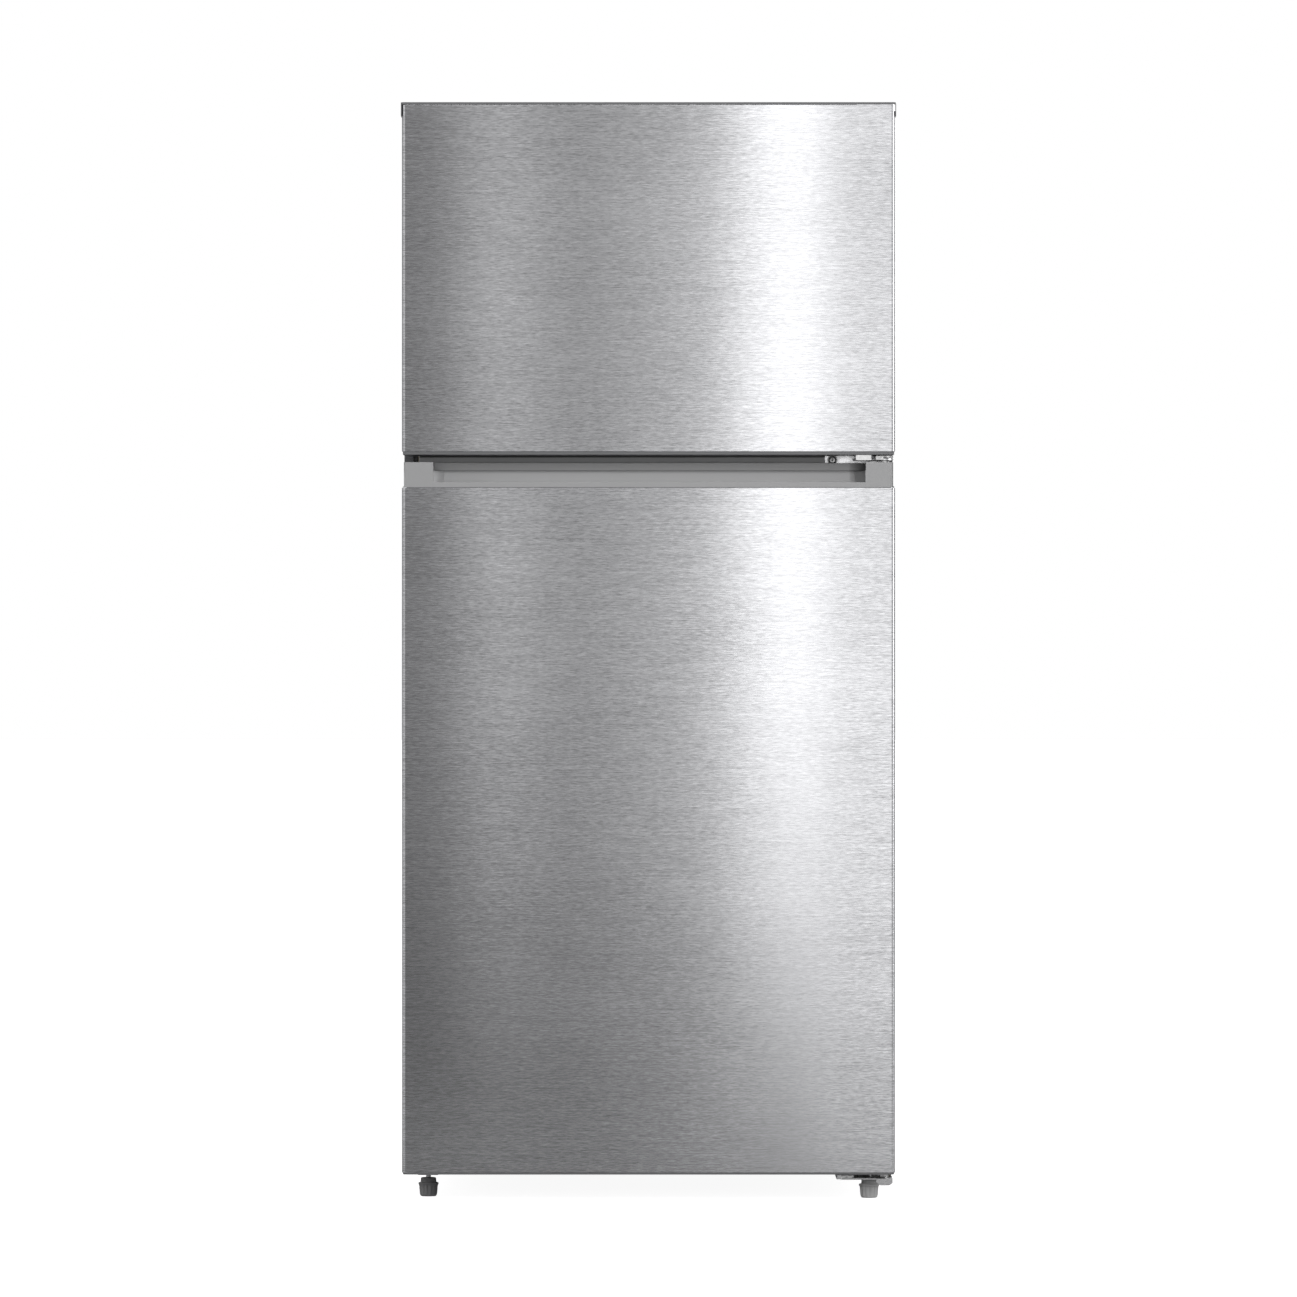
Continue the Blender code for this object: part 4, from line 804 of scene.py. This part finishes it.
glass_shelf("freezer_shelf", 1388.3, 311.5, -182, 218)
glass_shelf("fridge_shelf_upper", 802.3, 323.5, -182, 284)
glass_shelf("fridge_shelf_lower", 562.3, 323.5, -182, 284)
bm = bmesh.new()
loft([[(x, y, h) for x, y in round_rect(-323 + d, 323 - d, -158 + d, 284 - d, 8, 5)] for d, h in ((0.5, 328.8), (0, 329.3), (0, 332.7), (0.5, 333.2))], bm=bm)
piece("crisper_glass_pane", bm, "glass", "cabinet", "crisper_glass", sharp=40)


def drawer(name, x0, x1, side, body):
    """Clear crisper: drafted tub with a rolled rim, and a thicker front with a moulded grip."""
    y0, y1, z0, z1 = -179.0, 112.0, 102.0, 294.0
    bm = bmesh.new()

    def ring(d, z, r):
        return [(x, y, z) for x, y in round_rect(x0 + d, x1 - d, y0 + min(d, 1.5), y1 - d, r, 5)]

    loops = [ring(8, z0, 8), ring(4.6, z0 + 1.2, 10), ring(3.4, z0 + 5, 11), ring(0.4, z1 - 5, 12), ring(-6.0, z1 - 3.8, 8), ring(-7.0, z1 - 2.8, 8), ring(-7.0, z1 - 1.2, 8), ring(-6.2, z1 - 0.4, 8),
             ring(-1.0, z1 - 0.2, 12), ring(1.6, z1 - 0.6, 11), ring(2.6, z1 - 2.4, 11), ring(5.6, z0 + 9, 10), ring(7.0, z0 + 4.4, 9), ring(10, z0 + 3.0, 8)]
    loops = [[(x, max(y, -178.8), z) for x, y, z in lp] for lp in loops]
    loft(loops, bm=bm)
    o = piece(name + "_tub", bm, "clearp", body, name, sharp=40)
    a, b = (x0 - 10, x1 + 4) if side < 0 else (x0 - 4, x1 + 10)
    xc = (x0 + x1) / 2
    front = bmesh.new()
    rows = ((1.6, -177.6), (0.0, -178.4), (0.0, -187.6), (0.5, -189.4), (2.0, -190.8), (5.0, -191.0))
    outer = [[(x, y, z) for x, z in round_rect(a + d, b - d, 99 + d, 301 - d, 9, 8)] for d, y in rows]
    # the face is a ring down to a slightly sunk field
    rows2 = ((12.0, -191.0), (14.0, -190.2), (15.0, -189.0))
    outer += [[(x, y, z) for x, z in round_rect(a + d, b - d, 99 + d, 301 - d, 7, 8)] for d, y in rows2]
    loft(outer, bm=front)
    piece(name + "_front", front, "clearp", body, sharp=40)
    grip = bmesh.new()
    prof = [(-189.0, 250), (-190.6, 250), (-190.9, 252), (-190.9, 282), (-190.4, 285), (-189.0, 286.5), (-188.9, 284), (-188.9, 254)]
    loft([[(x, y, z) for y, z in prof] for x in (xc - 62, xc + 62)], bm=grip)
    piece(name + "_grip", grip, "white2", body, sharp=40, bevel=0.4)
    return o


drawer("crisper_left", -299, -18, -1, "crisper_left_body")
drawer("crisper_right", 18, 299, 1, "crisper_right_body")


# ================================================================ fans, compressor, condenser, back
def blades(name, centre, axis, radius, count, width, bore, body):
    """Bored hub with a domed nose and swept, twisted blades of aerofoil section."""
    hub = radius * 0.30
    bm = bmesh.new()
    h = width / 2
    turned([(bore, -h), (hub - 1.5, -h), (hub, -h + 1.5), (hub, h - 2.5), (hub - 1.0, h - 0.8), (hub - 3.0, h), (bore, h)], (0, 0, 0), "Z", 36, ring=True, bm=bm)
    steps, chords = 8, 7
    for k in range(count):
        base = 2 * math.pi * k / count
        loops = []
        for i in range(steps + 1):
            f = i / steps
            rad = hub - 0.8 + (radius - hub + 0.8) * f
            sweep = 0.30 * f * f
            span_ = (2.3 if count == 4 else 1.9) * math.pi / count * (0.52 + 0.16 * math.sin(math.pi * f))
            pitch = (0.92 - 0.30 * f) * (h - 1.4)
            thick = 1.5 - 0.7 * f
            top, bottom = [], []
            for c in range(chords + 1):
                u = c / chords
                a = base + sweep + (u - 0.5) * span_
                camber = 1.6 * math.sin(math.pi * u)
                z = (u - 0.5) * 2 * pitch * 0.92 + camber - 0.8
                th = thick * (0.35 + 0.65 * math.sin(math.pi * min(u * 1.15, 1.0))) / 2
                top.append((rad * math.cos(a), rad * math.sin(a), z + th))
                bottom.append((rad * math.cos(a), rad * math.sin(a), z - th))
            loops.append(top + list(reversed(bottom)))
        loft(loops, bm=bm)
    turn = Matrix.Identity(4)
    if axis == "X":
        turn = Matrix.Rotation(math.radians(90), 4, "Y")
    elif axis == "Y":
        turn = Matrix.Rotation(math.radians(-90), 4, "X")
    bm.transform(Matrix.Translation(Vector(centre)) @ turn)
    return piece(name + "_blades", bm, "black", body, name, sharp=40)


blades("condenser_fan", (-36, 262, 150), "X", 56, 5, 16, 3.0, "condenser_fan_body")
blades("evaporator_fan", (0, 252, 1460), "Y", 50, 4, 18, 3.0, "evaporator_fan_body")

can = bmesh.new()
rows = ((0.60, 66.2), (0.80, 67), (0.93, 71), (0.985, 79), (1.0, 86), (1.0, 117), (1.004, 118.2), (1.03, 118.6), (1.034, 119.4), (1.034, 124.6), (1.03, 125.4), (0.996, 125.8), (0.99, 130), (0.975, 160),
        (0.955, 176), (0.91, 191), (0.84, 203), (0.72, 212.5), (0.56, 219), (0.36, 223.6), (0.12, 225.6))
loft([[(170 + 92 * s * math.cos(2 * math.pi * k / 64), 270 + 75.44 * s * math.sin(2 * math.pi * k / 64), z) for k in range(64)] for s, z in rows], bm=can)
piece("compressor_can", can, "enamel", "cabinet", "compressor", sharp=30)
plate = bmesh.new()
loft([[(x, y, z) for x, y in round_rect(78 + d, 262 - d, 205 + d, 335 - d, 14, 6)] for d, z in ((0.6, 57.0), (0, 57.6), (0, 59.6), (0.6, 60.2))], bm=plate)
for sx in (95, 240):
    prism([(220, 60), (320, 60), (306, 74), (234, 74)], "X", sx, sx + 3.0, bm=plate)
piece("compressor_base", plate, "enamel", "cabinet", sharp=30)
for k, (x, y) in enumerate(((90, 215), (250, 215), (250, 325), (90, 325))):
    piece(f"compressor_grommet_{k}", turned([(11, 44.2), (11.4, 45.4), (11.4, 49.4), (10.4, 50.2), (8.6, 51.2), (8.6, 53.0), (10.6, 54.2), (11.0, 55.6), (10.6, 56.8), (7.8, 57.0)], (x, y, 0), "Z", 28), "rubber", "cabinet", sharp=40)
    screw(f"compressor_bolt_{k}", (x, y, 60.2), 4.6, "Z", "cabinet", washer=7.4)
box_bm = bmesh.new()
loft([[(x, y, z) for y, z in round_rect(244 + d, 296 - d, 108 + d, 170 - d, 7, 4)] for d, x in ((2.2, 61.2), (0.6, 62.0), (0, 63.6), (0, 100))], bm=box_bm)
piece("compressor_relay_cover", box_bm, "black", "cabinet", sharp=30)
tube("suction_tube", [(112, 236, 120), (112, 236, 168), (110, 232, 178), (104, 226, 184), (96, 222, 186), (60, 218, 190), (40, 214, 196), (20, 210, 206), (12, 206, 216), (10, 204, 228), (10, 204, 262)], 4.0, "copper", "cabinet", 4)
tube("discharge_tube", [(216, 226, 110), (232, 212, 112), (240, 203, 120), (242, 198, 136), (240, 196, 160), (228, 195, 176), (190, 195, 184), (120, 195, 186), (60, 196, 168), (30, 196, 120), (8, 198, 100)], 3.0, "copper", "cabinet", 4)

pts = []
rows_, left_, right_, top_ = 7, -334.0, -118.0, 236.0
for k in range(rows_):
    z = top_ - k * 24
    ends = (left_, right_) if k % 2 == 0 else (right_, left_)
    pts += [(ends[0], 232.0, z), (ends[1], 232.0, z)]
    if k < rows_ - 1:
        sx = 1 if ends[1] == right_ else -1
        for t in range(12, 180, 12):
            pts.append((ends[1] + sx * 12 * math.sin(math.radians(t)), 232.0, z - 12 + 12 * math.cos(math.radians(t))))
tube("condenser_coil_tube", pts, 3.0, "enamel", "cabinet", 4, "condenser_coil")
wires = bmesh.new()
for k in range(24):
    x = -328 + k * 9.0
    for y in (228.2, 235.8):
        turned([(0.75, 88), (0.75, 240)], (x, y, 0), "Z", 8, bm=wires)
piece("condenser_wires", wires, "enamel", "cabinet", sharp=60)

fins = bmesh.new()
for k in range(101):
    x = -249.6 + k * 5.0
    add_box(fins, x, x + 0.35, 243, 289, 1192, 1338)
piece("evaporator_fins", fins, "alu", "cabinet", "evaporator_coil", sharp=60)
row = []
for k in range(6):
    z = 1204 + k * 24
    a, b = (-262, 262) if k % 2 == 0 else (262, -262)
    row += [(a, 266, z), (b, 266, z)]
    if k < 5:
        sx = 1 if b > 0 else -1
        for t in range(20, 180, 20):
            row.append((b + sx * 12 * math.sin(math.radians(t)), 266, z + 12 - 12 * math.cos(math.radians(t))))
tube("evaporator_tube", row, 4.0, "alu", "cabinet", 4)

# back: pressed ribs, a blank rating plate, hex screws round the machine cover
ribs = bmesh.new()
for x in (-290, -174, -58, 58, 174, 290):
    loft([[(px, y, pz) for px, pz in round_rect(x - 16 + d, x + 16 - d, 330 + d, 1590 - d, 15, 8)] for d, y in ((0, 371.25), (0.8, 372.2), (2.2, 373.1), (4.2, 373.5))], bm=ribs)
piece("back_panel_ribs", ribs, "back", "cabinet", sharp=50)
piece("rating_plate", prism(round_rect(-28, 28, 1180, 1252, 3, 4), "Y", 373.5, 373.8), "label", "cabinet")


def hex_screw(name, x, y, z, body="cabinet"):
    bm = turned([(6.4, 0.0), (6.6, 0.3), (6.2, 0.9), (4.4, 1.0)], (x, y, z), "Y", 24)
    prism([(x + 4.0 * math.cos(math.radians(60 * k)), z + 4.0 * math.sin(math.radians(60 * k))) for k in range(6)], "Y", y + 0.9, y + 3.4, bm=bm)
    return piece(name, bm, "zinc", body, sharp=30, bevel=0.3)


for k, (x, z) in enumerate([(x, 258.0) for x in (-362, -180, 0, 180, 362)] + [(x, 51.0) for x in (-362, -120, 120, 362)] + [(-362, 155), (362, 155)]):
    hex_screw(f"cover_screw_{k}", x, 372.6, z)
for k, (x, z) in enumerate([(x, 1646.0) for x in (-362, -120, 120, 362)] + [(s * 364, z) for s in (-1, 1) for z in (620, 980, 1320)]):
    hex_screw(f"back_screw_{k}", x, 371.3, z)

# control face marks: ticks round both dials
for label, cx, y, cz, r, n in (("fridge", 110, -186.05, 1073, 16, 7), ("freezer", 230, 225.95, 1240, 19, 7)):
    marks = bmesh.new()
    for k in range(n):
        a = math.radians(225 - 270 * k / (n - 1))
        w = 0.5 + 0.12 * k
        p = [(-w, r + 2.2), (w, r + 2.2), (w, r + 2.9 + 0.0), (-w, r + 2.9)] if r == 16 else [(-w, r + 2.5), (w, r + 2.5), (w, r + 6.0), (-w, r + 6.0)]
        c, s = math.cos(a - math.pi / 2), math.sin(a - math.pi / 2)
        prism([(cx + px * c - pz * s, cz + px * s + pz * c) for px, pz in p], "Y", y - 0.15, y + 0.3, bm=marks)
    piece(f"{label}_dial_scale", marks, "ink", "cabinet")


# ================================================================ stage: floor, light, world
def emission_mat(name):
    m = bpy.data.materials.new(name)
    m.use_nodes = True
    t = m.node_tree
    t.nodes.clear()
    out = t.nodes.new("ShaderNodeOutputMaterial")
    return m, t, out


# pale seamless floor
m, t, out = emission_mat("floor_paper")
em = t.nodes.new("ShaderNodeEmission")
em.inputs["Color"].default_value = (1, 1, 1, 1)
em.inputs["Strength"].default_value = 0.93
df = t.nodes.new("ShaderNodeBsdfDiffuse")
df.inputs["Color"].default_value = (0.55, 0.55, 0.55, 1)
add = t.nodes.new("ShaderNodeAddShader")
t.links.new(em.outputs[0], add.inputs[0])
t.links.new(df.outputs[0], add.inputs[1])
dark = t.nodes.new("ShaderNodeBsdfDiffuse")
dark.inputs["Color"].default_value = (0.20, 0.20, 0.20, 1)
path = t.nodes.new("ShaderNodeLightPath")
mixer = t.nodes.new("ShaderNodeMixShader")
place = t.nodes.new("ShaderNodeTexCoord")
split = t.nodes.new("ShaderNodeSeparateXYZ")
t.links.new(place.outputs["Object"], split.inputs[0])
away = t.nodes.new("ShaderNodeMath")
away.operation = "ABSOLUTE"
t.links.new(split.outputs["X"], away.inputs[0])
ramp = t.nodes.new("ShaderNodeMapRange")
for key, v in (("From Min", 0.9), ("From Max", 1.7), ("To Min", 0.0), ("To Max", 1.0)):
    ramp.inputs[key].default_value = v
t.links.new(away.outputs[0], ramp.inputs["Value"])
glossy = t.nodes.new("ShaderNodeMath")
glossy.operation = "MULTIPLY"
t.links.new(ramp.outputs["Result"], glossy.inputs[0])
t.links.new(path.outputs["Is Glossy Ray"], glossy.inputs[1])
sweep = t.nodes.new("ShaderNodeEmission")
sweep.inputs["Color"].default_value = (0.46, 0.46, 0.465, 1)
side = t.nodes.new("ShaderNodeMixShader")
t.links.new(glossy.outputs[0], side.inputs["Fac"])
t.links.new(dark.outputs[0], side.inputs[1])
t.links.new(sweep.outputs[0], side.inputs[2])
t.links.new(path.outputs["Is Camera Ray"], mixer.inputs["Fac"])
t.links.new(side.outputs[0], mixer.inputs[1])
t.links.new(add.outputs[0], mixer.inputs[2])
t.links.new(mixer.outputs[0], out.inputs["Surface"])
bm = bmesh.new()
bmesh.ops.create_grid(bm, x_segments=1, y_segments=1, size=60.0)
me = bpy.data.meshes.new("floor")
bm.to_mesh(me)
bm.free()
floor = bpy.data.objects.new("floor", me)
scene.collection.objects.link(floor)
me.materials.append(m)
floor.location.z = -0.0005

# the soft box in front of the doors: a sheet of light with a graded brightness
CARD_Y = FRONT_Y - 1.5
CARD_X, CARD_Z0, CARD_Z1 = 0.75, -0.0, 2.5
# two soft lights on one sheet: a broad wash that grows to the right and toward the floor, and an upright strip
# right of centre with a weak second one at the left, both fading toward the floor
A_STOPS = [(-0.75, 0.03), (-0.30, 0.03), (0.00, 0.08), (0.11, 0.12), (0.23, 0.07), (0.34, 0.32), (0.75, 0.45)]
V_STOPS = [(0.0, 2.2), (0.6, 2.0), (1.2, 1.2), (1.75, 1.0), (2.5, 0.6)]
B_STOPS = [(-0.75, 0.20), (-0.38, 0.22), (-0.26, 0.62), (-0.13, 0.36), (0.08, 0.55), (0.25, 1.90), (0.34, 0.72), (0.75, 0.70)]
W_STOPS = [(0.0, 0.10), (0.25, 0.30), (0.55, 0.72), (0.9, 0.92), (2.5, 0.94)]
m, t, out = emission_mat("soft_box")
N = Nodes.__new__(Nodes)
N.t, N.p, N.coord = t, None, None
sep = t.nodes.new("ShaderNodeSeparateXYZ")
N.coord = t.nodes.new("ShaderNodeTexCoord")
t.links.new(N.coord.outputs["Object"], sep.inputs[0])
fx = N.span(sep.outputs["X"], -CARD_X, CARD_X, 0.0, 1.0)
fz = N.span(sep.outputs["Z"], CARD_Z0, CARD_Z1, 0.0, 1.0)
terms = []
for across, up in ((A_STOPS, V_STOPS), (B_STOPS, W_STOPS)):
    colx = N.colours(fx, [((x + CARD_X) / (2 * CARD_X), (v, v, v)) for x, v in across], "EASE")
    colz = N.colours(fz, [((z - CARD_Z0) / (CARD_Z1 - CARD_Z0), (v, v, v)) for z, v in up], "EASE")
    mul = t.nodes.new("ShaderNodeVectorMath")
    mul.operation = "MULTIPLY"
    t.links.new(colx, mul.inputs[0])
    t.links.new(colz, mul.inputs[1])
    terms.append(mul.outputs[0])
both = t.nodes.new("ShaderNodeVectorMath")
both.operation = "ADD"
t.links.new(terms[0], both.inputs[0])
t.links.new(terms[1], both.inputs[1])
em = t.nodes.new("ShaderNodeEmission")
t.links.new(both.outputs[0], em.inputs["Color"])
em.inputs["Strength"].default_value = 1.0
t.links.new(em.outputs[0], out.inputs["Surface"])
me = bpy.data.meshes.new("soft_box")
me.from_pydata([(-CARD_X, CARD_Y, CARD_Z0), (CARD_X, CARD_Y, CARD_Z0), (CARD_X, CARD_Y, CARD_Z1), (-CARD_X, CARD_Y, CARD_Z1)], [], [(0, 1, 2, 3)])
me.materials.append(m)
card = bpy.data.objects.new("soft_box", me)
scene.collection.objects.link(card)
card.visible_camera = False
card.visible_shadow = False
card.visible_transmission = False

# world: white behind for the camera, a soft grey studio for everything else
world = bpy.data.worlds.new("studio")
scene.world = world
world.use_nodes = True
t = world.node_tree
t.nodes.clear()
out = t.nodes.new("ShaderNodeOutputWorld")
N = Nodes.__new__(Nodes)
N.t, N.p = t, None
N.coord = t.nodes.new("ShaderNodeTexCoord")
sep = t.nodes.new("ShaderNodeSeparateXYZ")
t.links.new(N.coord.outputs["Generated"], sep.inputs[0])
up = N.span(sep.outputs["Z"], -0.3, 1.0, 0.0, 1.0)
sky = N.colours(up, ((0.0, (0.16,) * 3), (0.25, (0.30,) * 3), (0.6, (0.55,) * 3), (1.0, (0.9,) * 3)))
turn = t.nodes.new("ShaderNodeMath")
turn.operation = "ARCTAN2"
t.links.new(sep.outputs["X"], turn.inputs[0])
t.links.new(N.math("MULTIPLY", sep.outputs["Y"], -1.0), turn.inputs[1])
round_ = N.span(turn.outputs[0], -math.pi, math.pi, 0.0, 1.0)
strips = N.colours(round_, [((a + 180) / 360, (v,) * 3) for a, v in ((-180, 0.8), (-150, 1.6), (-125, 0.8), (-84, 0.85), (-62, 2.6), (-46, 2.2), (-33, 1.5), (-24, 1.0), (0, 1.0), (26, 1.0), (36, 1.9),
                                                                    (56, 2.6), (74, 0.95), (120, 0.8), (146, 1.9), (165, 0.9), (180, 0.8))], "EASE")
lit = t.nodes.new("ShaderNodeVectorMath")
lit.operation = "MULTIPLY"
t.links.new(sky, lit.inputs[0])
t.links.new(strips, lit.inputs[1])
soft = t.nodes.new("ShaderNodeBackground")
t.links.new(lit.outputs[0], soft.inputs["Color"])
soft.inputs["Strength"].default_value = 1.0
white = t.nodes.new("ShaderNodeBackground")
white.inputs["Color"].default_value = (1, 1, 1, 1)
path = t.nodes.new("ShaderNodeLightPath")
mixer = t.nodes.new("ShaderNodeMixShader")
t.links.new(path.outputs["Is Camera Ray"], mixer.inputs["Fac"])
t.links.new(soft.outputs[0], mixer.inputs[1])
t.links.new(white.outputs[0], mixer.inputs[2])
t.links.new(mixer.outputs[0], out.inputs["Surface"])
scene.view_settings.view_transform = "Standard"
scene.view_settings.look = "None"


def lamp(name, at, aim, size, power, colour=(1, 1, 1)):
    d = bpy.data.lights.new(name, "AREA")
    d.shape = "RECTANGLE"
    d.size, d.size_y = size
    d.energy = power
    d.color = colour
    o = bpy.data.objects.new(name, d)
    scene.collection.objects.link(o)
    o.location = at
    o.rotation_euler = (Vector(aim) - Vector(at)).to_track_quat("-Z", "Y").to_euler()
    o.visible_camera = False
    return o


lamp("top_light", (0.0, -0.6, 4.2), (0, 0, 0.8), (3.5, 2.5), 60)
left = lamp("left_light", (-4.5, -2.0, 2.2), (0, 0, 0.9), (1.6, 3.0), 45)
left.visible_glossy = False
lamp("right_light", (4.5, -1.5, 2.2), (0, 0, 0.9), (1.6, 3.0), 60)
lamp("back_light", (1.5, 5.0, 2.6), (0, 0, 0.9), (2.5, 2.5), 45)
fill = lamp("front_fill", (0.0, -5.5, 1.6), (0, 0, 0.85), (3.0, 2.6), 140)
fill.visible_glossy = False
inside = lamp("cabinet_lamp", (0.0, -0.09, 1.040), (0, -0.02, 0.3), (0.11, 0.11), 1.6, (1.0, 0.97, 0.92))
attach(inside, "cabinet")
